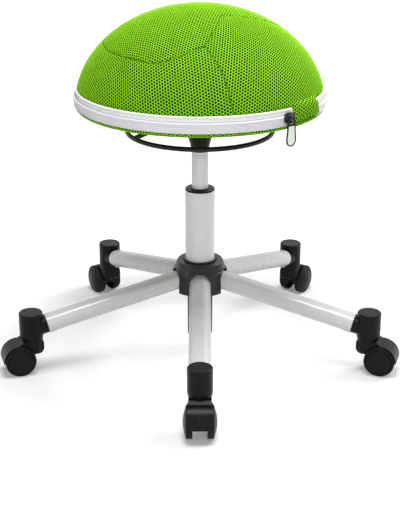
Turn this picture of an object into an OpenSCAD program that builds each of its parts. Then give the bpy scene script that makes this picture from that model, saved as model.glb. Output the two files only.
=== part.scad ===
// Half-ball stool: an air-filled dome seat on a gas spring and a five-legged caster base.
// Millimetres, +Z up, origin on the floor under the column. Leg 1 points to -Y, the front.

/* [Seat] */
// Diameter of the cover at its widest level
seat_d = 409; // [380:1:430]
// Height of the dome above that level
dome_h = 161.5; // [130:0.5:190]
// Thickness of the mesh cover over the dome
cover_t = 3; // [2:0.5:4]
// Thickness of the cover's underside
skin_t = 2.4; // [1.6:0.2:3]
// Radius of the rounded lower rim of the cover
rim_round = 7; // [5:0.5:9]
// Thickness of the seat board
board_t = 12; // [9:0.5:15]
// Wall of the air cushion
cushion_t = 4; // [3:0.5:6]
// Distance from the axis to the cushion's inflation plug
plug_offset = 82; // [75:1:95]
// Diameter of the inflation plug's stopper
plug_d = 14; // [10:0.5:18]

/* [Zipper] */
// Height of the white zipper band
zip_w = 25.7; // [22:0.1:30]
// Height of the row of closed teeth
teeth_w = 7; // [5:0.5:9]
// How far the tape stands out from the cover
tape_out = 1.6; // [1:0.1:2.5]
// How far the teeth stand out from the tape
teeth_out = 1.8; // [1:0.1:3]
// Angle of plain mesh between the two ends of the zipper
zip_gap = 19; // [12:1:30]
// Direction of the middle of that gap
zip_gap_az = -36.5; // [-60:0.5:-20]
// Length of the slider along the teeth
slider_len = 22; // [16:1:26]
// Height of the slider
slider_h = 17; // [14:0.5:20]
// Thickness of the slider's plate
slider_t = 2.6; // [2:0.2:4]
// Length of the pull tab below its bar
pull_len = 39.5; // [30:0.5:45]
// Width of the pull tab at its foot
pull_w = 19.5; // [14:0.5:22]

/* [Seat mount and release ring] */
// Height of the seat mount from its mouth to the seat board
mount_h = 78.6; // [74:0.2:90]
// Diameter of the seat mount's flange
flange_d = 124; // [110:1:140]
// Thickness of that flange
flange_t = 8; // [6:0.5:10]
// Outer diameter of the release ring
ring_d = 249; // [220:1:280]
// Thickness of the release ring
ring_t = 8; // [6:0.5:10]
// Height of the ring above the mouth of the seat mount
ring_rise = 35.7; // [32:0.1:40]
// Height of the cross bar's middle above the ring
bar_rise = 13.3; // [11:0.1:15]
// Width of the cross bar
bar_w = 14; // [12:0.5:18]
// Thickness of the cross bar
bar_t = 3; // [2:0.5:4]
// Direction of the cross bar
bar_az = 27; // [20:1:35]
// Distance from the axis to the ring's pivot pin
pivot_offset = 20; // [17.5:0.5:23]
// Diameter of the pivot pin
pivot_d = 4; // [3:0.5:5]

/* [Gas spring] */
// Diameter of the stand tube above the hub
tube_d = 50; // [48:0.5:52]
// Diameter of the stand tube below the hub
tube_foot_d = 40.6; // [38:0.2:43]
// Wall of the stand tube
tube_wall = 2; // [1.5:0.1:2.5]
// Length of the stand tube
tube_len = 261.5; // [250:0.5:275]
// Height of the stand tube's mouth above the hub
tube_rise = 125.5; // [110:0.5:140]
// Height of the black guide cap on the stand tube
guide_cap_h = 4; // [3:0.5:8]
// Length of the guide bush inside the stand tube
bush_len = 92; // [80:1:110]
// Diameter of the pressure cylinder
cyl_d = 28; // [27:0.5:28.5]
// Length of the pressure cylinder
cyl_len = 276; // [270:1:285]
// Wall of the pressure cylinder
cyl_wall = 1.5; // [1:0.1:2]
// Length of the cylinder's taper in the seat mount
taper_len = 39; // [34:0.5:41]
// Diameter of the piston rod
rod_d = 10; // [8:0.5:12]
// Height of the piston above the foot of the stand tube
piston_rise = 193; // [185:1:205]
// Height of the seat mount above the guide cap, as in the photograph
lift_now = 64; // [52:1:75]
// Wall of the black sleeve over the foot of the stand tube
sleeve_wall = 1.2; // [1:0.1:2]

/* [Hub and legs] */
// Distance from the column to each caster stem
base_r = 298; // [260:1:330]
// Fall of the legs towards the casters, in degrees
leg_tilt = 12.2; // [9:0.1:15]
// Width of the oval leg tube
leg_w = 36; // [34:0.5:38]
// Height of the oval leg tube
leg_h = 30; // [28:0.5:31]
// Wall of the leg tube
leg_wall = 2; // [1.5:0.1:2.5]
// Height of the leg's axis above the underside of its end cap
leg_rise = 16; // [15.5:0.1:22]
// Height of the hub
hub_h = 52; // [48:0.5:58]
// Depth of the hub's underside below the point where the legs' axes meet
hub_drop = 27; // [24:0.5:30]
// Diameter of the hub's flat top
hub_top_d = 78; // [74:0.2:84]
// Diameter of the hub's brow, where its top flares out over the legs
hub_brow_d = 91.4; // [88:0.2:98]
// Depth of the brow's edge below the hub's top
brow_drop = 16; // [14:0.5:18]
// Diameter of the hub's foot
hub_foot_d = 95; // [92:0.2:100]
// Wall of the hub's black shroud
shroud_wall = 3; // [2:0.1:4]
// Height of the arch left open above each leg tube
arch_rise = 5.5; // [4:0.5:6]
// Diameter of each end cap
cap_d = 39.8; // [37:0.2:42]
// Height of each end cap
cap_h = 45.3; // [40:0.1:52]
// Distance from a caster stem to the end of its leg tube
cap_reach = 26.6; // [24:0.2:32]
// Length of the end cap's spigot inside the leg tube
spigot_len = 25; // [15:1:40]

/* [Casters] */
// Diameter of each wheel
wheel_d = 52; // [46:1:56]
// Width of each wheel's tread
tread_w = 10.5; // [9:0.5:12]
// Bulge of the wheel's outer face beyond the tread
wheel_bulge = 4.5; // [3:0.5:6]
// Distance from the stem's axis to the axle
trail = 23.3; // [21:0.1:26]
// Thickness of the hood's web between the wheels
web_t = 22.4; // [20:0.2:24]
// Width of the hood over the wheels
hood_w = 39; // [34:0.5:42]
// Thickness of the hood over the wheels
hood_t = 1.5; // [1.2:0.1:2.5]
// Diameter of the hood's neck
neck_d = 36.5; // [32:0.2:37]
// Height of the neck above the wheels
neck_h = 8.6; // [8:0.1:12]
// Diameter of the stem
stem_d = 11; // [9:0.5:12]
// Height of the stem inside the end cap
stem_grip = 35; // [28:1:36]
// Diameter of the axle
axle_d = 6; // [5:0.5:8]

/* [Hidden] */
LEG_COUNT = 5;
$fn = 96;

seat_gap = 0.2;      // between pieces that are fixed to each other
move_gap = 0.35;     // between pieces that move past each other
run_gap = 0.06;      // round a shaft or pin that turns in its hole
press_gap = 0.02;    // round a pin that is pressed in
eps = 1;             // overrun of a cut past the face it opens

lime = [0.47, 0.76, 0.1];
silver = [0.78, 0.77, 0.79];
black = [0.07, 0.08, 0.07];
white = [0.95, 0.95, 0.96];

// Heights, from the floor up
function leg_az(i) = -90 + 360 / LEG_COUNT * i;
function leg_z(r) = cap_z + leg_rise + (base_r - r) * tan(leg_tilt);
wheel_r = wheel_d / 2;
neck_top = wheel_d + neck_h;
cap_z = neck_top + move_gap;
core_d = leg_w / sin(180 / LEG_COUNT) + seat_gap;   // the legs just lie side by side round the core
hub_z = leg_z(0) - hub_drop;
hub_top = hub_z + hub_h;
tube_top = hub_top + tube_rise;
tube_foot = tube_top - tube_len;
guide_top = tube_top + guide_cap_h;
mount_z = guide_top + lift_now;
cyl_top = mount_z + taper_len;
cyl_foot = cyl_top - cyl_len;
ring_z = mount_z + ring_rise;
bar_z = ring_z + bar_rise;
board_z = mount_z + mount_h;
rim_top = 3;         // the rounded rim ends this far above dome_z, the widest level
dome_z = board_z - seat_gap - skin_t + rim_round - rim_top;

// Zipper levels above dome_z, and its turn round the seat
zip_lo = rim_top + 0.3;
zip_hi = zip_lo + zip_w;
zip_mid = (zip_lo + zip_hi) / 2;
zip_start = zip_gap_az + zip_gap / 2;
zip_turn = 360 - zip_gap;

// Half width and height of the dome's elliptical section, less an inset all over
function dome_a(inset) = seat_d / 2 - inset;
function dome_b(inset) = dome_h - inset;
function dome_r(z, inset = 0) = dome_a(inset) * sqrt(1 - pow(z / dome_b(inset), 2));
function dome_arc(inset, from_z, steps) =
    let (start = asin(from_z / dome_b(inset)))
    [for (i = [0:steps]) let (t = start + (90 - start) * i / steps)
        [dome_a(inset) * cos(t), dome_b(inset) * sin(t)]];
function back(points) = [for (i = [len(points) - 1:-1:0]) points[i]];
function arc(cx, cy, r, from, to, steps) =
    [for (i = [0:steps]) let (t = from + (to - from) * i / steps) [cx + r * cos(t), cy + r * sin(t)]];

// An upright oval: two half circles and the flat between them, its long side along Y
module oval(w, h) {
    for (side = [-1, 1]) translate([0, side * (w - h) / 2]) circle(d = h);
    square([h, w - h], center = true);
}

// Runs its 2D child along leg i's axis, between two distances from the column
module along_leg(i, from_r, to_r) {
    rotate([0, 0, leg_az(i)]) translate([0, 0, leg_z(0)]) rotate([0, 90 + leg_tilt, 0])
        translate([0, 0, from_r / cos(leg_tilt)])
            linear_extrude(height = (to_r - from_r) / cos(leg_tilt)) children();
}

module at_caster(i) {
    rotate([0, 0, leg_az(i)]) translate([base_r, 0, 0]) children();
}

// ---- Seat ----

dome_steps = 26;

// A skin between two levels of the dome, over part of a turn
module dome_skin(inset, thick, lo, hi, steps = 8, from = 0, turn = 360) {
    outer = [for (i = [0:steps]) let (z = lo + (hi - lo) * i / steps) [dome_r(z, inset), z]];
    inner = [for (i = [0:steps]) let (z = lo + (hi - lo) * i / steps) [dome_r(z, inset + thick), z]];
    translate([0, 0, dome_z]) rotate_extrude(angle = turn, start = from)
        polygon(concat(outer, back(inner)));
}

module cover_top() color(lime) {
    foot = zip_hi + seat_gap;
    union() {
        translate([0, 0, dome_z]) rotate_extrude()
            polygon(concat(dome_arc(0, foot, dome_steps), back(dome_arc(cover_t, foot, dome_steps))));
        // the plain mesh between the two ends of the zipper
        margin = 0.1;
        dome_skin(0, cover_t, zip_lo, foot + eps / 2, 4,
                  zip_gap_az - zip_gap / 2 + margin, zip_gap - 2 * margin);
    }
}

module cover_base() color(lime) {
    edge = dome_a(0) - rim_round;
    floor_z = rim_top - rim_round;
    hole_r = flange_d / 2 + 2;
    translate([0, 0, dome_z]) rotate_extrude()
        polygon(concat(
            [[hole_r, floor_z]],
            arc(edge, rim_top, rim_round, -90, 0, 8),
            arc(edge, rim_top, rim_round - skin_t, 0, -90, 8),
            [[hole_r, floor_z + skin_t]]));
}

module zip_tape() color(white) {
    binding = 3;     // height of the folded edge along each side of the tape
    edge_out = 0.7;  // the folded edge stands this far out
    inset = cover_t - 0.4;
    levels = [zip_lo, zip_lo + binding, zip_mid - teeth_w / 2 - 2, zip_mid - teeth_w / 2,
              zip_mid + teeth_w / 2, zip_mid + teeth_w / 2 + 2, zip_hi - binding, zip_hi];
    proud = [edge_out, tape_out, tape_out - 0.4, tape_out - 0.9,
             tape_out - 0.9, tape_out - 0.4, tape_out, edge_out];
    outer = [for (i = [0:len(levels) - 1]) [dome_r(levels[i]) + proud[i], levels[i]]];
    inner = [for (z = levels) [dome_r(z) - inset, z]];
    translate([0, 0, dome_z]) rotate_extrude(angle = zip_turn, start = zip_start)
        polygon(concat(outer, back(inner)));
}

// radius of the ledge in the tape that the teeth lie on, and of the teeth's crest
tooth_bed = dome_r(zip_mid - teeth_w / 2) + tape_out - 0.9;
tooth_top = tooth_bed + teeth_out + 0.9;

module zip_teeth() color(white) {
    half = teeth_w / 2 - 0.3;
    translate([0, 0, dome_z + zip_mid]) rotate_extrude(angle = zip_turn, start = zip_start)
        polygon([[tooth_bed + 0.1, -half], [tooth_top - 0.8, -half], [tooth_top, -half + 1.2],
                 [tooth_top, -0.5], [tooth_top - 0.4, 0], [tooth_top, 0.5],
                 [tooth_top, half - 1.2], [tooth_top - 0.8, half], [tooth_bed + 0.1, half]]);
}

slider_az = zip_gap_az - zip_gap / 2 - 3.4;  // it is drawn closed, a little short of the zipper's end
slider_in = dome_r(zip_mid - slider_h / 2) + tape_out + move_gap;
slider_out = tooth_top + move_gap + slider_t;
pull_bar_d = 2;
pull_x = slider_out + 2.6;
pull_z = -4.5;                                // the bar's height from the middle of the teeth
bridge_w = 5;

module at_slider() {
    rotate([0, 0, slider_az]) translate([0, 0, dome_z + zip_mid]) children();
}

module zip_slider() color(black) {
    turn = slider_len / slider_out * 180 / PI;
    channel = teeth_w / 2 + move_gap;
    difference() {
        union() {
            intersection() {
                at_slider() rotate_extrude(angle = turn, start = -turn / 2)
                    translate([slider_in, -slider_h / 2]) square([slider_out - slider_in, slider_h]);
                at_slider() rotate([90, 0, 90]) translate([0, 0, slider_in - 2 * eps])
                    linear_extrude(height = slider_out - slider_in + 4 * eps)
                        rotate(90) oval(slider_len, slider_h);
            }
            // the bridge that holds the pull tab's bar
            at_slider() rotate([90, 0, 0]) linear_extrude(height = bridge_w, center = true) {
                translate([slider_out - 0.8, pull_z - 3]) square([pull_x - slider_out + 0.8, 9.5]);
                translate([pull_x, pull_z]) circle(d = 5.4);
                translate([slider_out - 0.8, pull_z + 6.5]) circle(r = 2.2);
            }
        }
        // the channel that the teeth run through
        at_slider() rotate_extrude(angle = 2 * turn, start = -turn)
            translate([slider_in - eps, -channel]) square([tooth_top + move_gap - slider_in + eps, 2 * channel]);
        at_slider() translate([pull_x, 0, pull_z]) rotate([90, 0, 0])
            cylinder(d = pull_bar_d + 2 * run_gap, h = bridge_w + eps, center = true);
    }
}

pull_taper = 2.7;    // each side of the pull tab draws in this much towards its loop

// The pull tab's face below its loop, less an inset all round
module pull_face(inset, loop_h) {
    neck = pull_w / 2 - pull_taper - inset;
    foot_r = pull_w / 2;
    polygon([[-neck, -loop_h], [neck, -loop_h], [foot_r - inset, foot_r - pull_len],
             [inset - foot_r, foot_r - pull_len]]);
    translate([0, foot_r - pull_len]) circle(r = foot_r - inset);
}

module zip_pull() color(silver) {
    loop_w = pull_w - 2.7;
    loop_h = 7;
    window = 4.6;    // from the bar's axis down to the solid part of the loop
    plate_t = 2;
    rim = 1.6;
    panel_deep = 0.5;
    at_slider() translate([pull_x, 0, pull_z]) {
        rotate([90, 0, 0]) cylinder(d = pull_bar_d, h = loop_w - 1, center = true);
        rotate([90, 0, 90]) difference() {
            linear_extrude(height = plate_t, center = true) difference() {
                union() {
                    pull_face(0, loop_h - 1);
                    translate([-loop_w / 2, -loop_h]) square([loop_w, loop_h + 1.2]);
                }
                translate([-bridge_w / 2 - move_gap, -window])
                    square([bridge_w + 2 * move_gap, window + 1.2 + eps]);
            }
            // a sunk panel on each face leaves a raised rim
            for (face = [plate_t / 2 - panel_deep, -plate_t / 2 - eps])
                translate([0, 0, face]) linear_extrude(height = panel_deep + eps) pull_face(rim, loop_h + 1);
        }
    }
}

module zip_pull() color(silver) {
    arm_w = 2.4;
    neck_w = bridge_w + 2 * (arm_w + move_gap);
    plate_t = 1.8;
    window = 4.6;    // from the bar's axis down to the solid plate
    foot_r = pull_w / 2;
    at_slider() translate([pull_x, 0, pull_z]) {
        rotate([90, 0, 0]) cylinder(d = pull_bar_d, h = neck_w, center = true);
        rotate([90, 0, 90]) linear_extrude(height = plate_t, center = true) difference() {
            union() {
                polygon([[-neck_w / 2, 0], [neck_w / 2, 0], [foot_r, -pull_len + foot_r],
                         [-foot_r, -pull_len + foot_r]]);
                translate([0, -pull_len + foot_r]) circle(r = foot_r);
            }
            translate([-neck_w / 2 + arm_w, -window])
                square([neck_w - 2 * arm_w, window + eps]);
        }
    }
}

cushion_foot = board_z + board_t + seat_gap - dome_z;

module air_cushion() color([0.3, 0.33, 0.36]) {
    inset = cover_t + seat_gap;
    difference() {
        translate([0, 0, dome_z]) rotate_extrude()
            polygon(concat(
                [[0, cushion_foot]],
                dome_arc(inset, cushion_foot, dome_steps),
                back(dome_arc(inset + cushion_t, cushion_foot + cushion_t, dome_steps)),
                [[0, cushion_foot + cushion_t]]));
        translate([plug_offset, 0, board_z]) cylinder(d = plug_d + 2 * seat_gap, h = board_t + cushion_t + 2);
    }
}

// Pushed in from below through the board, it closes the hole that the cushion is pumped up by
module air_plug() color(white) {
    z0 = dome_z + cushion_foot;
    translate([plug_offset, 0, z0]) {
        translate([0, 0, -3]) cylinder(d = plug_d + 5, h = 3 - seat_gap);
        translate([0, 0, -3]) cylinder(d = plug_d, h = 3 + cushion_t + 2);
    }
}

screw_d = 6;
screw_head_d = 11;
screw_circle = flange_d - screw_head_d - 5;

module seat_board() color([0.72, 0.58, 0.38]) {
    edge = 4;
    r = dome_r(cushion_foot, cover_t + seat_gap) - seat_gap;
    difference() {
        translate([0, 0, board_z]) rotate_extrude()
            polygon(concat([[0, 0]], arc(r - edge, edge, edge, -90, 0, 6),
                           [[r, board_t], [0, board_t]]));
        translate([plug_offset, 0, board_z - eps])
            cylinder(d = plug_d + 12, h = board_t + 2 * eps);
        for (a = [45:90:315]) rotate([0, 0, a + bar_az]) translate([screw_circle / 2, 0, board_z - eps])
            cylinder(d = screw_d + 2 * press_gap, h = board_t - 2 + eps, $fn = 32);
    }
}

module board_screws() color(silver) {
    head_h = 3.6;
    key = 4.6;
    flange_z = mount_z + horn_h;
    for (a = [45:90:315]) rotate([0, 0, a + bar_az]) translate([screw_circle / 2, 0, 0])
        difference() {
            union() {
                translate([0, 0, flange_z - head_h])
                    cylinder(d1 = screw_head_d - 3, d2 = screw_head_d, h = head_h, $fn = 32);
                translate([0, 0, flange_z - eps])
                    cylinder(d = screw_d, h = flange_t + board_t - 3 + eps, $fn = 32);
            }
            translate([0, 0, flange_z - head_h - eps]) cylinder(d = key, h = head_h - 1 + eps, $fn = 6);
        }
}

// ---- Seat mount, release ring and valve ----

mouth_r = cyl_d / 2 + 1;
taper_r = cyl_d / 2 - 0.8;                    // the cylinder's radius at the top of its taper
horn_h = mount_h - flange_t - seat_gap;
horn_top_r = screw_circle / 2 - screw_head_d / 2 - 2;
window_lo = bar_z - 8.5;
window_hi = bar_z + 7;

// Radius of the trumpet-shaped mount at a height above its mouth
function horn_r(z) = mouth_r + (horn_top_r - mouth_r) * pow(z / horn_h, 1.63);

// Half the pivot pin's length: it ends just inside the mount's curved side
pivot_half = sqrt(pow(horn_r(bar_z - pivot_d / 2 - mount_z), 2) - pow(pivot_offset + pivot_d / 2, 2)) - 0.5;

module seat_mount() color(black) {
    steps = 14;
    rib_lo = window_hi - mount_z + 2;
    top = mount_h - seat_gap;
    difference() {
        union() {
            translate([0, 0, mount_z]) rotate_extrude() polygon(concat(
                [[cyl_d / 2 + press_gap, 0]],
                [for (i = [0:steps]) let (z = horn_h * i / steps) [horn_r(z), z]],
                [[flange_d / 2, horn_h], [flange_d / 2, top], [0, top], [0, window_hi - mount_z],
                 [taper_r + press_gap, window_hi - mount_z], [taper_r + press_gap, taper_len]]));
            for (a = [0:60:300]) rotate([0, 0, a + bar_az + 30]) translate([0, 0, mount_z])
                rotate([90, 0, 0]) linear_extrude(height = 3, center = true)
                    polygon([[horn_r(rib_lo) - 6, rib_lo], [horn_r(rib_lo), rib_lo],
                             [flange_d / 2 - 3, horn_h], [horn_r(rib_lo) - 6, horn_h]]);
        }
        rotate([0, 0, bar_az]) {
            translate([-flange_d / 2, -bar_w / 2 - 1, window_lo])
                cube([flange_d, bar_w + 2, window_hi - window_lo]);
            translate([pivot_offset, 0, bar_z]) rotate([90, 0, 0])
                cylinder(d = pivot_d + 2 * press_gap, h = flange_d, center = true);
        }
        for (a = [45:90:315]) rotate([0, 0, a + bar_az])
            translate([screw_circle / 2, 0, board_z - flange_t - eps])
                cylinder(d = screw_d + 2 * seat_gap, h = flange_t + 2 * eps, $fn = 32);
    }
}

module ring_pivot_pin() color(silver) {
    rotate([0, 0, bar_az]) translate([pivot_offset, 0, bar_z]) rotate([90, 0, 0])
        cylinder(d = pivot_d, h = 2 * pivot_half, center = true);
}

module release_ring() color(black) {
    r = (ring_d - ring_t) / 2;
    crank_out = r - 2;
    crank_in = crank_out - 50;
    knuckle_d = pivot_d + 4.4;
    difference() {
        union() {
            translate([0, 0, ring_z]) rotate_extrude($fn = 48) translate([r, 0]) circle(d = ring_t, $fn = 24);
            // the flat bar across the ring, cranked up to pass over the valve pin
            rotate([0, 0, bar_az]) rotate([90, 0, 0]) linear_extrude(height = bar_w, center = true)
                polygon([
                    [-crank_out, ring_z - bar_t / 2], [-crank_in, bar_z - bar_t / 2],
                    [crank_in, bar_z - bar_t / 2], [crank_out, ring_z - bar_t / 2],
                    [crank_out, ring_z + bar_t / 2], [crank_in, bar_z + bar_t / 2],
                    [-crank_in, bar_z + bar_t / 2], [-crank_out, ring_z + bar_t / 2]]);
            rotate([0, 0, bar_az]) translate([pivot_offset, 0, bar_z]) rotate([90, 0, 0])
                cylinder(d = knuckle_d, h = bar_w, center = true);
        }
        rotate([0, 0, bar_az]) translate([pivot_offset, 0, bar_z]) rotate([90, 0, 0])
            cylinder(d = pivot_d + 2 * run_gap, h = bar_w + eps, center = true);
    }
}

valve_d = 8;

module valve_pin() color(silver) {
    nose = 1.4;
    top = bar_z - bar_t / 2 - 0.3;
    rotate_extrude() polygon([[0, cyl_top - 16], [valve_d / 2, cyl_top - 16], [valve_d / 2, top - nose],
                              [1.8, top], [0, top]]);
}

// ---- Gas spring ----

module pressure_cylinder() color(silver) {
    r = cyl_d / 2;
    roof = 8;
    top = cyl_top - mount_z;
    translate([0, 0, mount_z]) rotate_extrude() polygon([
        [r, -cyl_len + taper_len], [r, -9], [r - rolled, -8], [r, -7], [r, -5], [r - rolled, -4],
        [r, -3], [r, 0], [taper_r, top - 0.6], [taper_r - 0.6, top],
        [valve_d / 2 + run_gap, top], [valve_d / 2 + run_gap, top - roof],
        [taper_r - cyl_wall, top - roof], [r - cyl_wall, 0], [r - cyl_wall, -cyl_len + taper_len]]);
}

module rod_gland() color(black) {
    length = 12;
    rotate_extrude() translate([rod_d / 2 + run_gap, cyl_foot + 1.5])
        square([cyl_d / 2 - cyl_wall - press_gap - rod_d / 2 - run_gap, length]);
}

piston_z = tube_foot + piston_rise;
piston_h = 10;

module piston_head() color(silver) {
    r = cyl_d / 2 - cyl_wall - 0.1;
    groove = 1.2;
    rotate_extrude() translate([0, piston_z]) polygon([
        [rod_d / 2 - 1 + press_gap, 0], [r, 0], [r, 3], [r - groove, 3], [r - groove, 6], [r, 6],
        [r, piston_h], [rod_d / 2 - 1 + press_gap, piston_h]]);
}

floor_t = 3;         // the stand tube's bottom plate
bearing_z = tube_foot + floor_t + seat_gap;
bearing_h = 9;
clip_t = 1.2;
clip_z = tube_foot - move_gap - clip_t;
rod_foot = clip_z - 1.1;
neck_in = 0.5;       // the rod's end through the bearing is this much thinner
groove_in = 1.4;     // depth of the clip's groove

module piston_rod() color(silver) {
    r = rod_d / 2;
    shoulder = bearing_z + bearing_h + move_gap;
    clip_lo = clip_z - 0.1;
    clip_hi = clip_z + clip_t + 0.1;
    rotate_extrude() polygon([
        [0, rod_foot], [r - neck_in, rod_foot], [r - neck_in, clip_lo], [r - groove_in, clip_lo],
        [r - groove_in, clip_hi], [r - neck_in, clip_hi], [r - neck_in, shoulder], [r + 3, shoulder],
        [r + 3, shoulder + 3], [r, shoulder + 3], [r, piston_z - press_gap], [r - 1, piston_z - press_gap],
        [r - 1, piston_z + piston_h + 2], [0, piston_z + piston_h + 2]]);
}

// Snaps into the groove at the rod's foot and keeps the rod down
module rod_clip() color(silver) {
    rotate_extrude() translate([rod_d / 2 - groove_in + run_gap, clip_z]) square([4.5, clip_t]);
}

module thrust_bearing() color(silver) {
    bore = rod_d / 2 - neck_in + run_gap;
    outer = bore + 9.5;
    race = 2.4;
    ball_d = 4;
    middle = (bore + outer) / 2;
    difference() {
        union() {
            for (z = [bearing_z, bearing_z + bearing_h - race])
                rotate_extrude() translate([bore, z]) square([outer - bore, race]);
        }
        translate([0, 0, bearing_z + bearing_h / 2]) rotate_extrude()
            translate([middle, 0]) circle(d = ball_d + 2 * run_gap + 0.8, $fn = 32);
    }
    for (a = [0:45:315]) rotate([0, 0, a]) translate([middle, 0, bearing_z + bearing_h / 2])
        sphere(d = ball_d, $fn = 24);
}

bush_r = tube_d / 2 - tube_wall - 0.1;

// Flat glossy cap on the stand tube's mouth, with a raised wiper lip round the cylinder
module guide_bush() color(black) {
    bore = cyl_d / 2 + run_gap;
    r = tube_d / 2;
    top = tube_top + seat_gap;
    face = guide_top - 1;
    rotate_extrude() polygon([
        [bore, tube_top - bush_len], [bush_r, tube_top - bush_len], [bush_r, top], [r, top],
        [r, face - 0.8], [r - 0.8, face], [bore + 2.6, face], [bore + 1.6, guide_top], [bore, guide_top]]);
}

rolled = 0.35;       // depth of the grooves rolled into the column's two tubes
rolled_at = 3.2;     // the first groove below the stand tube's mouth
rolled_step = 2.7;

// Drawn steel tube: straight above the hub, a taper seat in it, a thinner foot below it
module stand_tube() color(silver) {
    r = tube_d / 2;
    foot_r = tube_foot_d / 2;
    seat_lo = hub_z + 4;
    wall = tube_wall;
    rotate_extrude() polygon(concat([
        [rod_d / 2, tube_foot], [foot_r - 1, tube_foot], [foot_r, tube_foot + 1], [foot_r, hub_z],
        [taper_foot_r, seat_lo], [r, hub_top - 2]],
        [for (i = [2:-1:0]) let (z = tube_top - rolled_at - rolled_step * i)
            each [[r, z - 0.8], [r - rolled, z], [r, z + 0.8]]],
        [[r, tube_top - 0.6], [r - 0.6, tube_top],
        [r - wall, tube_top], [r - wall, hub_top - 2],
        [taper_foot_r - wall, seat_lo], [foot_r - wall, hub_z], [foot_r - wall, tube_foot + floor_t],
        [rod_d / 2, tube_foot + floor_t]]));
}
taper_foot_r = (tube_d + tube_foot_d) / 4;

module foot_sleeve() color(black) {
    r = tube_foot_d / 2 + seat_gap;
    out = r + sleeve_wall;
    z0 = rod_foot - move_gap - sleeve_wall;
    round_r = 3;
    rotate_extrude() polygon(concat(
        [[0, z0]], arc(out - round_r, z0 + round_r, round_r, -90, 0, 5),
        [[out, hub_z - seat_gap], [r, hub_z - seat_gap]],
        arc(r - round_r + sleeve_wall, z0 + round_r, round_r - sleeve_wall, 0, -90, 5),
        [[0, z0 + sleeve_wall]]));
}

// ---- Hub and legs ----

core_margin = 2;     // the core stops this far inside the shroud's top and bottom

module hub_core() color(silver) {
    r = core_d / 2;
    seat_lo = hub_z + 4;
    rotate_extrude() polygon([
        [taper_foot_r + seat_gap, hub_z + core_margin], [r, hub_z + core_margin],
        [r, hub_top - core_margin], [tube_d / 2 + seat_gap, hub_top - core_margin],
        [taper_foot_r + seat_gap, seat_lo]]);
}

module leg_tube(i) color(silver) {
    tube_end = base_r - cap_reach;
    bead_len = 12;
    bead_w = 14;
    bead_t = 1.2;
    difference() {
        union() {
            along_leg(i, core_d / 4, tube_end) oval(leg_w, leg_h);
            // a short pressed bead under the tube's end
            along_leg(i, tube_end - bead_len, tube_end)
                translate([leg_h / 2 + bead_t / 2 - 0.5, 0]) square([bead_t + 1, bead_w], center = true);
        }
        along_leg(i, 0, tube_end + eps) oval(leg_w - 2 * leg_wall, leg_h - 2 * leg_wall);
        translate([0, 0, hub_z]) cylinder(d = core_d + 2 * seat_gap, h = hub_h + 30);
    }
}

// Radius of the shroud's outside at a depth below the hub's top, down to the brow's edge
function brow_r(depth) = let (t = depth / brow_drop)
    hub_top_d / 2 + (hub_brow_d - hub_top_d) / 2 * (0.6 * sin(90 * t) + 0.4 * pow(t, 6));

// A plastic bell pushed down over the welded legs: each leg comes out through an arch open below
module hub_shroud() color(black) {
    inner = core_d / 2 + seat_gap;
    lip = tube_d / 2 + seat_gap;
    foot_r = hub_foot_d / 2;
    roof = 9;
    collar = 2.4;
    steps = 10;
    under_brow = 2;
    arch_w = leg_w + 2 * seat_gap;
    flare = [for (i = [steps:-1:1]) let (d = brow_drop * i / steps) [brow_r(d), hub_h - d]];
    difference() {
        translate([0, 0, hub_z]) rotate_extrude() polygon(concat(
            [[foot_r - shroud_wall, 0], [foot_r, 0],
             [(foot_r + hub_brow_d / 2) / 2, hub_h - brow_drop - under_brow]],
            flare,
            [[hub_top_d / 2, hub_h - 0.8], [hub_top_d / 2 - 0.8, hub_h], [lip + 4.6, hub_h],
             [lip + 4, hub_h - 1.2], [lip + 3.4, hub_h - 1.2], [lip + 3, hub_h + collar],
             [lip, hub_h + collar], [lip, hub_h - core_margin + seat_gap],
             [inner, hub_h - core_margin + seat_gap], [inner, hub_h - roof],
             [brow_r(roof) - shroud_wall, hub_h - roof],
             [hub_brow_d / 2 - shroud_wall, hub_h - brow_drop]]));
        for (i = [0:LEG_COUNT - 1]) along_leg(i, core_d / 4, base_r / 4) translate([-arch_rise, 0]) {
            oval(arch_w, leg_h + 2 * seat_gap);
            translate([0, -arch_w / 2]) square([arch_rise + hub_h, arch_w]);
        }
    }
}

module end_cap(i) color(black) {
    r = cap_d / 2;
    bevel = 1.5;
    dish = 0.5;
    foot_taper = 0.8;
    tube_end = base_r - cap_reach;
    difference() {
        union() {
            at_caster(i) translate([0, 0, cap_z]) rotate_extrude() polygon([
                [0, 0], [r - foot_taper, 0], [r, 5], [r, cap_h - bevel], [r - bevel, cap_h],
                [r - bevel - 1.5, cap_h - dish], [0, cap_h - dish]]);
            along_leg(i, tube_end + seat_gap, base_r - 6) oval(leg_w - 0.8, leg_h - 0.8);
            along_leg(i, tube_end - spigot_len, base_r - 6)
                oval(leg_w - 2 * leg_wall - 2 * seat_gap, leg_h - 2 * leg_wall - 2 * seat_gap);
        }
        at_caster(i) translate([0, 0, cap_z - eps])
            cylinder(d = stem_d + 2 * run_gap, h = stem_grip + 1 + eps);
    }
}

// ---- Casters: +X of a caster's own frame is the side that trails, here away from the column ----

web_gap = 0.3;       // between the hood's web and each wheel
stem_foot = wheel_r + 10;

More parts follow.
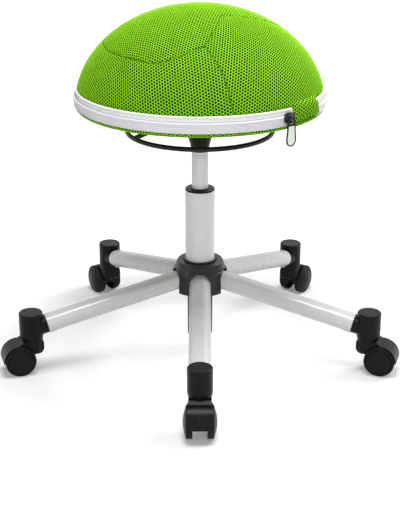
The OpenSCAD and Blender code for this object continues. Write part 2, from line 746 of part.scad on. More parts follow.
module caster_hood(i) color(black) {
    inner_r = wheel_r + 0.9;
    outer_r = inner_r + hood_t;
    neck_r = neck_d / 2;
    nose_r = 11;
    nose_z = wheel_d - 8;
    nose_foot = wheel_r + 9;
    nose_round = 5;
    skirt = wheel_r - 1.2;   // the hood's lower edge, just under the axle's height
    boss_r = axle_d / 2 + 5;
    at_caster(i) difference() {
        union() {
            // the neck and the nose below it are as wide as each other
            rotate_extrude() polygon(concat(
                [[0, nose_foot]], arc(neck_r - nose_round, nose_foot + nose_round, nose_round, -90, 0, 5),
                [[neck_r, neck_top], [0, neck_top]]));
            // the shoulders run down from the neck on to the hood
            rotate([90, 0, 0]) linear_extrude(height = neck_d - 2, center = true)
                polygon([[0, nose_z], [trail, nose_z], [trail, wheel_r + outer_r],
                         [neck_r - 1, neck_top - 2], [0, neck_top - 2]]);
            rotate([90, 0, 0]) linear_extrude(height = web_t, center = true) {
                translate([-neck_r + nose_r, nose_z]) circle(r = nose_r);
                translate([-neck_r, nose_z]) square([neck_r + trail / 2, wheel_d + 2 - nose_z]);
                translate([-neck_r + nose_r, nose_z - nose_r]) square([neck_r, wheel_d - nose_z + nose_r]);
                intersection() {
                    translate([trail, wheel_r]) circle(r = inner_r + hood_t / 2);
                    translate([0, skirt]) square([trail + outer_r, wheel_d]);
                }
                translate([trail, wheel_r]) circle(r = boss_r);
            }
            rotate([90, 0, 0]) linear_extrude(height = hood_w, center = true) intersection() {
                translate([trail, wheel_r]) difference() {
                    circle(r = outer_r);
                    circle(r = inner_r);
                }
                translate([trail / 3, skirt]) square([trail + outer_r, wheel_d]);
            }
        }
        // room for the wheels on both sides of the web
        for (side = [-1, 1]) translate([trail, side * (web_t / 2 + hood_w / 2), wheel_r])
            rotate([90, 0, 0]) cylinder(r = inner_r, h = hood_w, center = true);
        translate([0, 0, stem_foot]) cylinder(d = stem_d + 2 * press_gap, h = neck_top);
        translate([trail, 0, wheel_r]) rotate([90, 0, 0])
            cylinder(d = axle_d + 2 * press_gap, h = web_t + eps, center = true);
    }
}

module caster_stem(i) color(silver) {
    top = cap_z + stem_grip;
    groove = top - 7;
    r = stem_d / 2;
    at_caster(i) rotate_extrude() polygon([
        [0, stem_foot + seat_gap], [r, stem_foot + seat_gap], [r, groove], [r - 0.8, groove + 0.5],
        [r - 0.8, groove + 2.5], [r, groove + 3], [r, top - 1.5], [r - 1.5, top], [0, top]]);
}

axle_reach = tread_w - 0.6;   // into each wheel, from its inner face

module caster_axle(i) color(silver) {
    at_caster(i) translate([trail, 0, wheel_r]) rotate([90, 0, 0])
        cylinder(d = axle_d, h = web_t + 2 * web_gap + 2 * axle_reach, center = true);
}

// side is 1 for the wheel on the left of a caster seen from its leg, -1 for the other
module wheel(i, side) color(black) {
    bore = axle_d / 2 + run_gap;
    hub_r = axle_d / 2 + 4;
    rim_in = wheel_r - 4;
    recess = tread_w - 4;
    shoulder = 2.2;
    groove_r = wheel_r - 5;
    at_caster(i) translate([trail, 0, wheel_r]) rotate([side > 0 ? -90 : 90, 0, 0])
        translate([0, 0, web_t / 2 + web_gap]) rotate_extrude() polygon(concat(
            [[0, axle_reach + 0.4], [bore, axle_reach + 0.4], [bore, 0], [hub_r, 0], [hub_r, recess],
             [rim_in, recess], [rim_in, 0], [wheel_r - 0.8, 0], [wheel_r, 0.8]],
            arc(wheel_r - shoulder, tread_w - shoulder, shoulder, 0, 90, 5),
            [[groove_r + 0.8, tread_w + 0.5], [groove_r, tread_w - 0.1], [groove_r - 0.8, tread_w + 0.9]],
            [for (t = [1:5]) let (u = 1 - t / 5)
                [(groove_r - 1.6) * u, tread_w + 1.1 + (wheel_bulge - 1.1) * (1 - u * u)]]));
}

cover_top();
cover_base();
zip_tape();
zip_teeth();
zip_slider();
zip_pull();
air_cushion();
air_plug();
seat_board();
board_screws();
seat_mount();
release_ring();
ring_pivot_pin();
valve_pin();
pressure_cylinder();
rod_gland();
piston_head();
piston_rod();
guide_bush();
stand_tube();
foot_sleeve();
thrust_bearing();
rod_clip();
hub_core();
hub_shroud();
for (i = [1:LEG_COUNT]) {
    leg_tube(i - 1);
    end_cap(i - 1);
    caster_hood(i - 1);
    caster_stem(i - 1);
    caster_axle(i - 1);
    wheel(i - 1, 1);
    wheel(i - 1, -1);
}
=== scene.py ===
import math
import bmesh
import bpy
import numpy as np
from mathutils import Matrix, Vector
from mathutils.bvhtree import BVHTree
from mathutils.kdtree import KDTree


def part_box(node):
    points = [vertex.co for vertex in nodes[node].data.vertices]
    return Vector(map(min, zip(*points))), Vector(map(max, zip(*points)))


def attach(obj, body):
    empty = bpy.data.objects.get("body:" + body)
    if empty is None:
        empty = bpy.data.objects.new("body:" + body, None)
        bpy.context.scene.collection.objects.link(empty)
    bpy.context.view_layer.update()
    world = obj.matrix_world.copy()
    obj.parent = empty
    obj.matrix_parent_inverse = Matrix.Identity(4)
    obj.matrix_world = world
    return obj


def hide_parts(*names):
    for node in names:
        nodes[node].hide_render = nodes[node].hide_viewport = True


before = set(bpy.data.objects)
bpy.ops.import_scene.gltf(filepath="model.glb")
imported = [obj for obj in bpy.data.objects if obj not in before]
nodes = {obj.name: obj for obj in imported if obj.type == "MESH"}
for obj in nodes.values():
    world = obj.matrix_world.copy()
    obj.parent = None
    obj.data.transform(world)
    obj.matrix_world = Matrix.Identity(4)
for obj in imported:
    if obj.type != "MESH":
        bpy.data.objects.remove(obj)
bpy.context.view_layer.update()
mm = 0.001
print("frame loaded:", len(nodes), "CAD pieces")

# camera and the photograph's points
picture = {"width": 400, "height": 517}
cameraPlace = {"distance": 1.9042, "height": 0.9052, "pitch": 21.2, "lens": 82.41, "sensor": 36.0}
edgePoints = {"left": 1.3, "right": 398.7, "top": 0.5, "bottom": 440.0}
imagePoints = {
    "capFront": (201.5, 366.0),
    "capFrontLeft": (30.5, 311.5),
    "capFrontRight": (369.7, 312.0),
    "capBackLeft": (109.8, 241.7),
    "ringLeft": (124.7, 130.6),
    "slider": (288.0, 119.2),
    "pullTab": (291.0, 133.4),
    "seamCorner": (204.7, 46.0),
    "capSeamBend": (168.9, 60.0),
    "capSeamMiddle": (141.3, 61.4),
    "capSeamTurn": (106.5, 49.8),
    "capSeamEnd": (105.7, 36.5),
    "topSeamMiddle": (215.0, 28.4),
    "topSeamHook": (222.0, 15.0),
    "sideSeamMiddle": (222.3, 73.3),
    "sideSeamEnd": (234.0, 115.0),
}


def addObject(name, data):
    piece = bpy.data.objects.new(name, data)
    bpy.context.scene.collection.objects.link(piece)
    return piece


def addCamera(place):
    data = bpy.data.cameras.new("photoCamera")
    data.lens, data.sensor_width, data.sensor_fit = place["lens"], place["sensor"], "AUTO"
    camera = addObject("photoCamera", data)
    camera.location = (0, -place["distance"], place["height"])
    camera.rotation_euler = (math.radians(90 - place["pitch"]), 0, 0)
    bpy.context.scene.camera = camera
    bpy.context.view_layer.update()
    return camera


camera = addCamera(cameraPlace)
middleX, middleY = picture["width"] / 2, picture["height"] / 2
pixelScale = max(picture.values()) * camera.data.lens / camera.data.sensor_width


def viewLine(x, y):  # from the camera through a point of the photograph
    turn = camera.matrix_world
    aim = Vector((x - middleX, middleY - y, -pixelScale))
    return turn.translation, (turn.to_3x3() @ aim).normalized()


def seenAt(place):  # where a place in the scene shows in the photograph's frame
    x, y, z = camera.matrix_world.inverted() @ Vector(place)
    scale = pixelScale / -z
    return middleX + x * scale, middleY - y * scale


def verticesOf(piece):
    data = np.zeros(len(piece.data.vertices) * 3, np.float32)
    piece.data.vertices.foreach_get("co", data)
    turn = np.array(piece.matrix_world)
    return data.reshape(-1, 3) @ turn[:3, :3].T + turn[:3, 3]


def placeOn(tree, name):  # an image point, on the surface that carries it
    start, along = viewLine(*imagePoints[name])
    hit = tree.ray_cast(start, along)[0]
    if hit is None:
        near = min(range(1, 400), key=lambda i: tree.find_nearest(start + along * i * 0.01)[3])
        hit = tree.find_nearest(start + along * near * 0.01)[0]
    return hit


# finishes: four shared groups of nodes, and one dictionary of looks
def newGroup(name, inputs, outputs):
    group = bpy.data.node_groups.new(name, "ShaderNodeTree")
    for label, value in inputs.items():
        kind = "Color" if isinstance(value, tuple) else "Float"
        socket = group.interface.new_socket(label, in_out="INPUT", socket_type="NodeSocket" + kind)
        socket.default_value = value
    for label in outputs:
        kind = "Color" if label == "Color" else "Float"
        group.interface.new_socket(label, in_out="OUTPUT", socket_type="NodeSocket" + kind)
    given, out = group.nodes.new("NodeGroupInput"), group.nodes.new("NodeGroupOutput")
    return group, given.outputs, out.inputs


def feed(tree, socket, value):
    if isinstance(value, bpy.types.NodeSocket):
        tree.links.new(value, socket)
    else:
        socket.default_value = value


def addNode(tree, kind, settings=None, inputs=None):
    node = tree.nodes.new("ShaderNode" + kind)
    for key, value in (settings or {}).items():
        setattr(node, key, value)
    for key, value in (inputs or {}).items():
        feed(tree, node.inputs[key], value)
    return node


def mixColours(tree, factor, first, second, blend="MIX"):
    return addNode(tree, "Mix", {"data_type": "RGBA", "blend_type": blend},
                   {0: factor, 6: first, 7: second}).outputs[2]


def calculate(tree, operation, *values, clamp=False):
    return addNode(tree, "Math", {"operation": operation, "use_clamp": clamp},
                   dict(enumerate(values))).outputs[0]


def remap(tree, value, span, target):
    return addNode(tree, "MapRange", inputs={
        "Value": value, "From Min": span[0], "From Max": span[1],
        "To Min": target[0], "To Max": target[1]}).outputs["Result"]


def noiseOf(tree, scale, detail, rough=0.5):
    where = addNode(tree, "TexCoord").outputs["Object"]
    return addNode(tree, "TexNoise", inputs={
        "Vector": where, "Scale": scale, "Detail": detail, "Roughness": rough}).outputs["Fac"]


def makeMottle():  # slow drift between two tones of one colour
    group, given, out = newGroup("Mottle", {
        "Tone": (1, 1, 1, 1), "Other Tone": (0, 0, 0, 1), "Scale": 20, "Amount": 0.5}, ["Color"])
    drift = remap(group, noiseOf(group, given["Scale"], 4, 0.6), (0.35, 0.65), (0, given["Amount"]))
    group.links.new(mixColours(group, drift, given["Tone"], given["Other Tone"]), out["Color"])
    return group


def makeGrain():  # fine grain: uneven roughness and a little relief
    group, given, out = newGroup("Fine Grain", {"Scale": 1500, "Smooth": 0.3, "Rough": 0.5},
                                 ["Roughness", "Height"])
    fine = noiseOf(group, given["Scale"], 3)
    both = calculate(group, "ADD", fine, noiseOf(group, 60, 3))
    rough = remap(group, both, (0.75, 1.25), (given["Smooth"], given["Rough"]))
    group.links.new(rough, out["Roughness"])
    group.links.new(fine, out["Height"])
    return group


def makeEdgeWearAndSheen():  # rubbed edges and light scuffs, partly a painted highlight that lightens the edges, as a mask
    group, given, out = newGroup("Edge Wear And Sheen", {"Amount": 0.5}, ["Mask"])
    edge = remap(group, addNode(group, "NewGeometry").outputs["Pointiness"], (0.52, 0.62), (0, 1))
    broken = remap(group, noiseOf(group, 140, 5), (0.42, 0.62), (0, given["Amount"]))
    group.links.new(calculate(group, "MULTIPLY", edge, broken), out["Mask"])
    return group


def makeThread():  # spun threads that run round the seat, and cross threads
    group, given, out = newGroup("Threads", {"Round Count": 1800, "Row Scale": 1400},
                                 ["Height", "Shade"])
    where = addNode(group, "TexCoord").outputs["Object"]
    x, y, z = addNode(group, "SeparateXYZ", inputs={"Vector": where}).outputs
    angle = calculate(group, "ARCTAN2", y, x)
    waves = [calculate(group, "SINE", calculate(group, "MULTIPLY", value, scale))
             for value, scale in ((angle, given["Round Count"]), (z, given["Row Scale"]))]
    cross = calculate(group, "MULTIPLY", *waves)
    group.links.new(remap(group, cross, (-1, 1), (0, 1)), out["Height"])
    group.links.new(remap(group, cross, (-1, 1), (0.9, 1)), out["Shade"])
    return group


effects = {"mottle": makeMottle(), "grain": makeGrain(),
           "wearAndSheen": makeEdgeWearAndSheen(), "thread": makeThread()}


def placeEffect(tree, effect, **inputs):
    return addNode(tree, "Group", {"node_tree": effects[effect]},
                   {label.replace("_", " "): value for label, value in inputs.items()}).outputs


def newMaterial(name):
    material = bpy.data.materials.new(name)
    material.use_nodes = True
    return material, material.node_tree


def feedShader(tree, sockets):
    for label, value in sockets.items():
        feed(tree, tree.nodes["Principled BSDF"].inputs[label], value)


def newFinish(name, look):
    finish, tree = newMaterial(name)
    first, second = ((*tone, 1) for tone in look["tones"])
    mottle = placeEffect(tree, "mottle", Tone=first, Other_Tone=second,
                         Scale=look.get("patches", 20), Amount=look.get("mottle", 0.5))
    smooth, rough = look["rough"]
    grain = placeEffect(tree, "grain", Scale=look["grain"], Smooth=smooth, Rough=rough)
    colour, height = mottle["Color"], grain["Height"]
    # lighter edges: partly rubbed wear, partly painted highlight
    if "wornAndSheen" in look:
        wearAndSheen = placeEffect(tree, "wearAndSheen", Amount=look["wearAndSheenAmount"])
        colour = mixColours(tree, wearAndSheen["Mask"], colour, (*look["wornAndSheen"], 1))
    if "roundCount" in look:
        # the threads' Shade output is painted shade, darker in the hollows between threads
        thread = placeEffect(tree, "thread",
                             Round_Count=look["roundCount"], Row_Scale=look["rowScale"])
        colour = mixColours(tree, 1.0, colour, thread["Shade"], "MULTIPLY")
        height = thread["Height"]
    bump = addNode(tree, "Bump", inputs={"Strength": look.get("relief", 0.3), "Height": height,
                                         "Distance": look.get("depth", 0.0001)})
    feedShader(tree, {
        "Base Color": colour, "Roughness": grain["Roughness"], "Normal": bump.outputs["Normal"],
        "Metallic": look.get("metal", 0), "Specular IOR Level": look.get("gloss", 0.5)})
    return finish


plastic = {
    "patches": 30, "grain": 1700, "rough": (0.28, 0.4), "relief": 0.2, "depth": 0.00004,
    "wornAndSheen": (0.03, 0.03, 0.029), "wearAndSheenAmount": 0.15}
paint = {
    "patches": 6, "grain": 2600, "metal": 0.08, "relief": 0.06, "depth": 0.00002}
looks = {
    "meshYarn": {
        "tones": ((0.25, 0.6, 0.01), (0.21, 0.53, 0.008)), "patches": 30, "grain": 2600,
        "rough": (0.6, 0.8), "relief": 0.5, "depth": 0.00012, "gloss": 0.12},
    # painted shade: near-black green on the holes' deepest walls and floors, where the knit lies in
    # shade
    "meshPaintedHoleShade": {
        "tones": ((0.004, 0.045, 0.005), (0.002, 0.026, 0.003)), "patches": 200, "grain": 2600,
        "rough": (0.7, 0.9), "gloss": 0.0},
    # painted shade: the seam threads are dark to stand for the shade in the seams' grooves
    "seamThreadPaintedShade": {
        "tones": ((0.05, 0.17, 0.005), (0.035, 0.12, 0.004)), "patches": 300, "grain": 3000,
        "rough": (0.6, 0.8), "gloss": 0.12},
    "zipCloth": {
        "tones": ((0.89, 0.89, 0.9), (0.83, 0.83, 0.85)), "patches": 25, "grain": 2500,
        "rough": (0.6, 0.78), "roundCount": 1900, "rowScale": 6200, "relief": 0.35, "depth": 0.00012,
        "gloss": 0.2},
    "zipThread": {
        "tones": ((0.72, 0.72, 0.74), (0.6, 0.6, 0.62)), "patches": 400, "grain": 3000,
        "rough": (0.45, 0.6), "gloss": 0.2},
    "zipCoil": {
        "tones": ((0.8, 0.8, 0.82), (0.74, 0.74, 0.77)), "grain": 2400, "rough": (0.4, 0.55),
        "roundCount": 940, "rowScale": 40, "relief": 0.5, "depth": 0.0002, "gloss": 0.3},
    "sliderMetal": {
        "tones": ((0.003, 0.003, 0.003), (0.005, 0.005, 0.005)), "grain": 900, "rough": (0.1, 0.2),
        "wornAndSheen": (0.35, 0.35, 0.35), "wearAndSheenAmount": 0.3, "gloss": 0.12},
    # painted reflection: the pull's pale plate, tinted green by the cover, and its near-black frame
    "pullPaintedPaleReflection": {
        "tones": ((0.58, 0.64, 0.57), (0.5, 0.56, 0.49)), "grain": 1400, "rough": (0.25, 0.34),
        "metal": 0.8},
    "pullPaintedDarkReflection": {
        "tones": ((0.008, 0.009, 0.008), (0.015, 0.016, 0.015)), "grain": 1200, "rough": (0.15, 0.25),
        "metal": 0.4, "gloss": 0.2},
    "cushionSkin": {
        "tones": ((0.2, 0.22, 0.24), (0.16, 0.18, 0.2)), "grain": 900, "rough": (0.35, 0.5)},
    "plugPlastic": {
        "tones": ((0.8, 0.8, 0.78), (0.72, 0.72, 0.7)), "grain": 900, "rough": (0.3, 0.45)},
    "boardWood": {
        "tones": ((0.5, 0.35, 0.19), (0.36, 0.24, 0.12)), "patches": 45, "grain": 500,
        "rough": (0.55, 0.75)},
    "zincScrew": {
        "tones": ((0.55, 0.55, 0.56), (0.42, 0.42, 0.44)), "grain": 1500, "rough": (0.25, 0.42),
        "metal": 1.0},
    "blackPlastic": {
        **plastic, "tones": ((0.0026, 0.0031, 0.0024), (0.004, 0.0046, 0.0038)), "mottle": 0.4,
        "gloss": 0.13},
    "hubPlastic": {
        **plastic, "tones": ((0.003, 0.0035, 0.0028), (0.0045, 0.005, 0.0043)), "gloss": 0.36},
    "ringPaint": {
        "tones": ((0.007, 0.0078, 0.007), (0.011, 0.012, 0.011)), "grain": 1100, "rough": (0.3, 0.42),
        "wornAndSheen": (0.08, 0.08, 0.08), "wearAndSheenAmount": 0.3, "gloss": 0.2},
    "tubePaint": {
        **paint, "tones": ((0.7, 0.685, 0.7), (0.69, 0.675, 0.69)), "mottle": 0.15,
        "rough": (0.27, 0.3), "gloss": 0.35},
    "legPaint": {
        **paint, "tones": ((0.62, 0.605, 0.62), (0.61, 0.595, 0.61)), "mottle": 0.1,
        "rough": (0.24, 0.28), "gloss": 0.4},
    "rodSteel": {
        "tones": ((0.62, 0.62, 0.63), (0.55, 0.55, 0.56)), "grain": 1800, "rough": (0.14, 0.26),
        "metal": 1.0},
    "wheelNylon": {
        "tones": ((0.003, 0.0035, 0.0029), (0.005, 0.0056, 0.0048)), "patches": 60, "mottle": 0.4,
        "grain": 1300, "rough": (0.3, 0.42), "wornAndSheen": (0.03, 0.03, 0.029), "wearAndSheenAmount": 0.2,
        "gloss": 0.14},
}
finishes = {name: newFinish(name, look) for name, look in looks.items()}
print("finishes made:", len(finishes))


def dress(finish, *names):
    for name in names:
        for slot in nodes[name].material_slots:
            slot.material = finishes[finish]


def onLegs(*parts):  # the same parts on all five legs
    return [f"{part}_{i}" for part in parts for i in range(1, 6)]


dress("sliderMetal", "zip_slider")
dress("zipCoil", "zip_teeth")
dress("plugPlastic", "air_plug")
dress("boardWood", "seat_board")
dress("zincScrew", "board_screws", "ring_pivot_pin", "valve_pin", "rod_clip")
dress("blackPlastic", "seat_mount", "guide_bush", "foot_sleeve", "rod_gland",
      *onLegs("end_cap", "caster_hood"))
dress("hubPlastic", "hub_shroud")
dress("ringPaint", "release_ring")
dress("tubePaint", "pressure_cylinder", "stand_tube", "hub_core")
dress("legPaint", *onLegs("leg_tube"))
dress("rodSteel", "piston_rod", "piston_head", "thrust_bearing", *onLegs("caster_stem", "caster_axle"))
dress("wheelNylon", *onLegs("wheel_left", "wheel_right"))

# floor, world and lamps
studio = {
    "floorSize": 16.0, "floorTone": (0.78, 0.775, 0.795), "worldLevel": 0.2,
    # painted light on the floor, shown to camera and glossy rays only: strongest under the seat, where
    # it paints out the seat's shadow, low near the casters and full far out; by distance from the
    # column in metres
    "paintedFloorLight": [(0.0, 0.72), (0.14, 0.62), (0.24, 0.32), (0.32, 0.14), (0.46, 0.32), (2.4, 1.0)],
    "lamps": {
        "windowRight": {"at": (1.5, 0.7, 1.75), "aim": (0, 0, 0.4), "size": (0.8, 1.5), "watts": 28},
        "windowLeft": {"at": (-1.9, -0.9, 1.2), "aim": (0, 0, 0.3), "size": (0.6, 1.5), "watts": 5},
        "front": {"at": (0.3, -2.6, 1.25), "aim": (0, 0, 0.4), "size": (0.7, 1.1), "watts": 24,
                  "mirrored": False},
        "ceiling": {"at": (0.0, -0.25, 2.25), "aim": (0, 0, 0), "size": (0.9, 0.9), "watts": 34},
    },
}


def byView(tree, light, seen):  # the first lights the object, the second shows to the camera
    path = addNode(tree, "LightPath").outputs
    direct = calculate(tree, "ADD", path["Is Camera Ray"], path["Is Glossy Ray"])
    direct = calculate(tree, "ADD", direct, path["Is Transmission Ray"], clamp=True)
    return addNode(tree, "MixShader", inputs={0: direct, 1: light.outputs[0], 2: seen.outputs[0]})


def addFloor(made):
    finish, tree = newMaterial("studioPaper")
    feedShader(tree, {"Base Color": (*made["floorTone"], 1), "Roughness": 0.9, "Specular IOR Level": 0})
    where = addNode(tree, "NewGeometry").outputs["Position"]
    away = addNode(tree, "VectorMath", {"operation": "LENGTH"}, {0: where}).outputs["Value"]
    reach = made["paintedFloorLight"][-1][0]
    ramp = addNode(tree, "ValToRGB", inputs={"Fac": remap(tree, away, (0, reach), (0, 1))})
    ramp.color_ramp.interpolation = "EASE"
    for place, level in made["paintedFloorLight"][1:-1]:
        ramp.color_ramp.elements.new(place / reach)
    for stop, (place, level) in zip(ramp.color_ramp.elements, made["paintedFloorLight"]):
        stop.position, stop.color = place / reach, (level, level, level, 1)
    none = addNode(tree, "Emission", inputs={"Strength": 0})
    # painted light: an uneven emission seen by the camera, which fades the seat's shadow on the floor
    paintedFloorLight = addNode(tree, "Emission", inputs={"Strength": ramp.outputs["Color"]})
    both = addNode(tree, "AddShader", inputs={
        0: tree.nodes["Principled BSDF"].outputs[0], 1: byView(tree, none, paintedFloorLight).outputs[0]})
    tree.links.new(both.outputs[0], tree.nodes["Material Output"].inputs["Surface"])
    half = made["floorSize"] / 2
    mesh = bpy.data.meshes.new("floor")
    corners = [(-half, -half, 0), (half, -half, 0), (half, half, 0), (-half, half, 0)]
    mesh.from_pydata(corners, [], [(0, 1, 2, 3)])
    mesh.materials.append(finish)
    floor = addObject("floor", mesh)


def lightWorld(made):
    world = bpy.data.worlds.new("studioAir")
    bpy.context.scene.world = world
    world.use_nodes = True
    tree = world.node_tree
    tree.nodes.clear()
    light, seen = (addNode(tree, "Background", inputs={"Color": (1, 1, 1, 1), "Strength": level})
                   for level in (made["worldLevel"], 1))
    addNode(tree, "OutputWorld", inputs={"Surface": byView(tree, light, seen).outputs[0]})


def addLamps(made):
    for name, lamp in made["lamps"].items():
        data = bpy.data.lights.new(name, "AREA")
        data.shape, data.energy = "RECTANGLE", lamp["watts"]
        data.size, data.size_y = lamp["size"]
        piece = addObject(name, data)
        piece.location = lamp["at"]
        aim = Vector(lamp["aim"]) - Vector(lamp["at"])
        piece.rotation_euler = aim.to_track_quat("-Z", "Y").to_euler()
        piece.visible_glossy = lamp.get("mirrored", True)


addFloor(studio)
lightWorld(studio)
addLamps(studio)
bpy.context.scene.view_settings.view_transform = "Standard"
print("studio lit")

# the cover's form, in millimetres from the axis and above the dome's widest level
boxes = {name: [np.array(corner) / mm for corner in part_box(name)]
         for name in ("cover_top", "cover_base", "zip_tape", "zip_teeth", "air_cushion")}
rimTop = 3.0  # the rounded rim of the underside ends this far above the widest level
rimRound = 7.0
baseZ = boxes["cover_base"][1][2] - rimTop
cover = {
    "radius": (boxes["cover_base"][1][0] - boxes["cover_base"][0][0]) / 2,
    "height": boxes["cover_top"][1][2] - baseZ,
    "tapeFoot": boxes["zip_tape"][0][2] - baseZ,
    "tapeTop": boxes["zip_tape"][1][2] - baseZ,
    "gapMiddle": -36.5, "gapTurn": 19.0, "gapTrim": 0.1,  # the zipper's ends, in degrees
    "panelUp": 0.25, "tongueUp": 0.3, "seamDown": 4,  # where cloth and seams end at the tape
    "underHole": 64.0,
}


def profileOf(r, h, nr, nh):
    s = np.concatenate([[0], np.cumsum(np.hypot(np.diff(r), np.diff(h)))])
    size = np.hypot(nr, nh)
    return {"s": s, "r": r, "h": h, "nr": nr / size, "nh": nh / size}


def domeProfile(form, steps=600):  # from the top of the dome down to its widest level
    t = np.linspace(0, np.pi / 2, steps)
    return profileOf(form["radius"] * np.sin(t), form["height"] * np.cos(t),
                     np.sin(t) / form["radius"], np.cos(t) / form["height"])


def underProfile(form, steps=60, flatSteps=20):  # from the middle out and round the rim
    middle = form["radius"] - rimRound
    flat = np.linspace(0, middle, flatSteps)[:-1]
    turn = np.linspace(-np.pi / 2, 0, steps)
    r = np.concatenate([flat, middle + rimRound * np.cos(turn)])
    h = np.concatenate([flat * 0 + rimTop - rimRound, rimTop + rimRound * np.sin(turn)])
    return profileOf(r, h, np.concatenate([flat * 0, np.cos(turn)]),
                     np.concatenate([flat * 0 - 1, np.sin(turn)]))


dome = domeProfile(cover)
under = underProfile(cover)


def surfacePoint(surface, azimuth, s):
    r, h, nr, nh = (np.interp(s, surface["s"], surface[key]) for key in ("r", "h", "nr", "nh"))
    east, north = np.cos(azimuth), np.sin(azimuth)
    return (np.stack([r * east, r * north, h], 1), np.stack([nr * east, nr * north, nh], 1))


def levelToS(h):
    return np.interp(-h, -dome["h"], dome["s"])


def onDome(points):  # azimuth and distance from the top of places on or near the dome
    x, y, z = np.atleast_2d(points).T
    t = np.arctan2(np.hypot(x, y) / cover["radius"], z / cover["height"])
    return (np.arctan2(y, x),
            np.interp(cover["radius"] * np.sin(t), dome["r"], dome["s"]))


# the cover's seams: three panels meet at a corner in front and at one behind
coverSeams = {
    "step": 1.0,
    # out of the photograph's sight, as (azimuth in degrees, distance from the top in mm)
    "capSeamBehind": [(160, 166), (131, 172), (97, 182)],
    "topSeamBehind": [(-37, 77), (-11, 107), (3, 140), (12, 166), (33, 185)],
    "backCorner": (60, 190),
    "backSeam": [(64, 222), (69, 262)],
    "backFoot": 70, "sideFootTurn": 0.6,
}
coverMesh = nodes["cover_top"].data
coverTree = BVHTree.FromPolygons([v.co for v in coverMesh.vertices],
                                 [tuple(p.vertices) for p in coverMesh.polygons])


def seamPlace(name):
    return np.array(placeOn(coverTree, name)) / mm - (0, 0, baseZ)


def hiddenPlace(azimuth, s):
    return surfacePoint(dome, np.radians([azimuth]), np.array([float(s)]))[0][0]


def smoothLine(points, step):  # a curve through the points, laid back on the dome
    points = np.array([2 * points[0] - points[1], *points, 2 * points[-1] - points[-2]])
    line = []
    for a, b, c, d in zip(points, points[1:], points[2:], points[3:]):
        count = max(2, int(np.linalg.norm(c - b) / step))
        t = np.linspace(0, 1, count, endpoint=False)[:, None]
        line.append(0.5 * (2 * b + (c - a) * t + (2 * a - 5 * b + 4 * c - d) * t ** 2
                           + (3 * b - a - 3 * c + d) * t ** 3))
    line = np.concatenate([*line, points[-2:-1]])
    azimuth, s = onDome(line)
    return {"azimuth": np.unwrap(azimuth), "s": s, "points": surfacePoint(dome, azimuth, s)[0]}


def laySeams(plan):
    corner, back = seamPlace("seamCorner"), hiddenPlace(*plan["backCorner"])
    foot = levelToS(cover["tapeTop"] - cover["seamDown"])
    cap = [corner, *[seamPlace("capSeam" + n) for n in ("Bend", "Middle", "Turn", "End")],
           *[hiddenPlace(*p) for p in plan["capSeamBehind"]], back]
    top = [corner, seamPlace("topSeamMiddle"), seamPlace("topSeamHook"),
           *[hiddenPlace(*p) for p in plan["topSeamBehind"]], back]
    low = seamPlace("sideSeamEnd")
    side = [corner, seamPlace("sideSeamMiddle"), low]
    side.append(hiddenPlace(math.degrees(math.atan2(low[1], low[0])) + plan["sideFootTurn"], foot))
    behind = [back, *[hiddenPlace(*p) for p in plan["backSeam"]], hiddenPlace(plan["backFoot"], foot)]
    return {name: smoothLine(points, plan["step"])
            for name, points in (("cap", cap), ("top", top), ("side", side), ("behind", behind))}


seams = laySeams(coverSeams)
capEdge = {key: np.concatenate([seams["cap"][key], seams["top"][key]]) for key in ("azimuth", "s")}
footS = levelToS(cover["tapeTop"] + cover["panelUp"])
tongueS = levelToS(cover["tapeFoot"] + cover["tongueUp"])
gapEnds = np.radians([cover["gapMiddle"] - cover["gapTurn"] / 2 + cover["gapTrim"],
                      cover["gapMiddle"] + cover["gapTurn"] / 2 - cover["gapTrim"]])
fullTurn = 2 * np.pi


def inCap(azimuth, s):
    return s < np.interp(azimuth, capEdge["azimuth"], capEdge["s"], period=fullTurn)


def fromSideSeam(azimuth, s):  # the turn from the side seam, and the left panel's whole turn
    side = np.interp(s, seams["side"]["s"], seams["side"]["azimuth"])
    behind = np.interp(s, seams["behind"]["s"], seams["behind"]["azimuth"])
    return (side - azimuth) % fullTurn, (side - behind) % fullTurn


def inLeft(azimuth, s):
    turn, whole = fromSideSeam(azimuth, s)
    return ~inCap(azimuth, s) & (turn < whole) & (s < footS)


def inRight(azimuth, s):
    turn, whole = fromSideSeam(azimuth, s)
    inGap = (azimuth > gapEnds[0]) & (azimuth < gapEnds[1]) & (s < tongueS)
    return ~inCap(azimuth, s) & (turn >= whole) & ((s < footS) | inGap)


def levelLine(surface, start, end, s, count):
    azimuth = np.linspace(start, end, count)
    return surfacePoint(surface, azimuth, azimuth * 0 + s)[0]


def footLine(start, end, s, step=1.0):
    count = max(2, int(abs(end - start) * cover["radius"] / step))
    return levelLine(dome, start, end, s, count)


sideFoot, backFoot = seams["side"]["azimuth"][-1], seams["behind"]["azimuth"][-1]
pastSeam = 0.05  # the lines of the cloth's foot run on by this turn
tongueSides = np.linspace(footS, tongueS, 40)
edgeLines = {
    "cap": [seams["cap"]["points"], seams["top"]["points"]],
    "left": [*[seams[name]["points"] for name in ("cap", "side", "behind")],
             footLine(backFoot - fullTurn - pastSeam, sideFoot + pastSeam, footS)],
    "right": [*[seams[name]["points"] for name in ("top", "side", "behind")],
              footLine(sideFoot - pastSeam, gapEnds[0], footS), footLine(*gapEnds, tongueS),
              footLine(gapEnds[1], backFoot + pastSeam, footS),
              *[surfacePoint(dome, tongueSides * 0 + end, tongueSides)[0] for end in gapEnds]],
}
print("seams laid:", {name: len(line["s"]) for name, line in seams.items()})

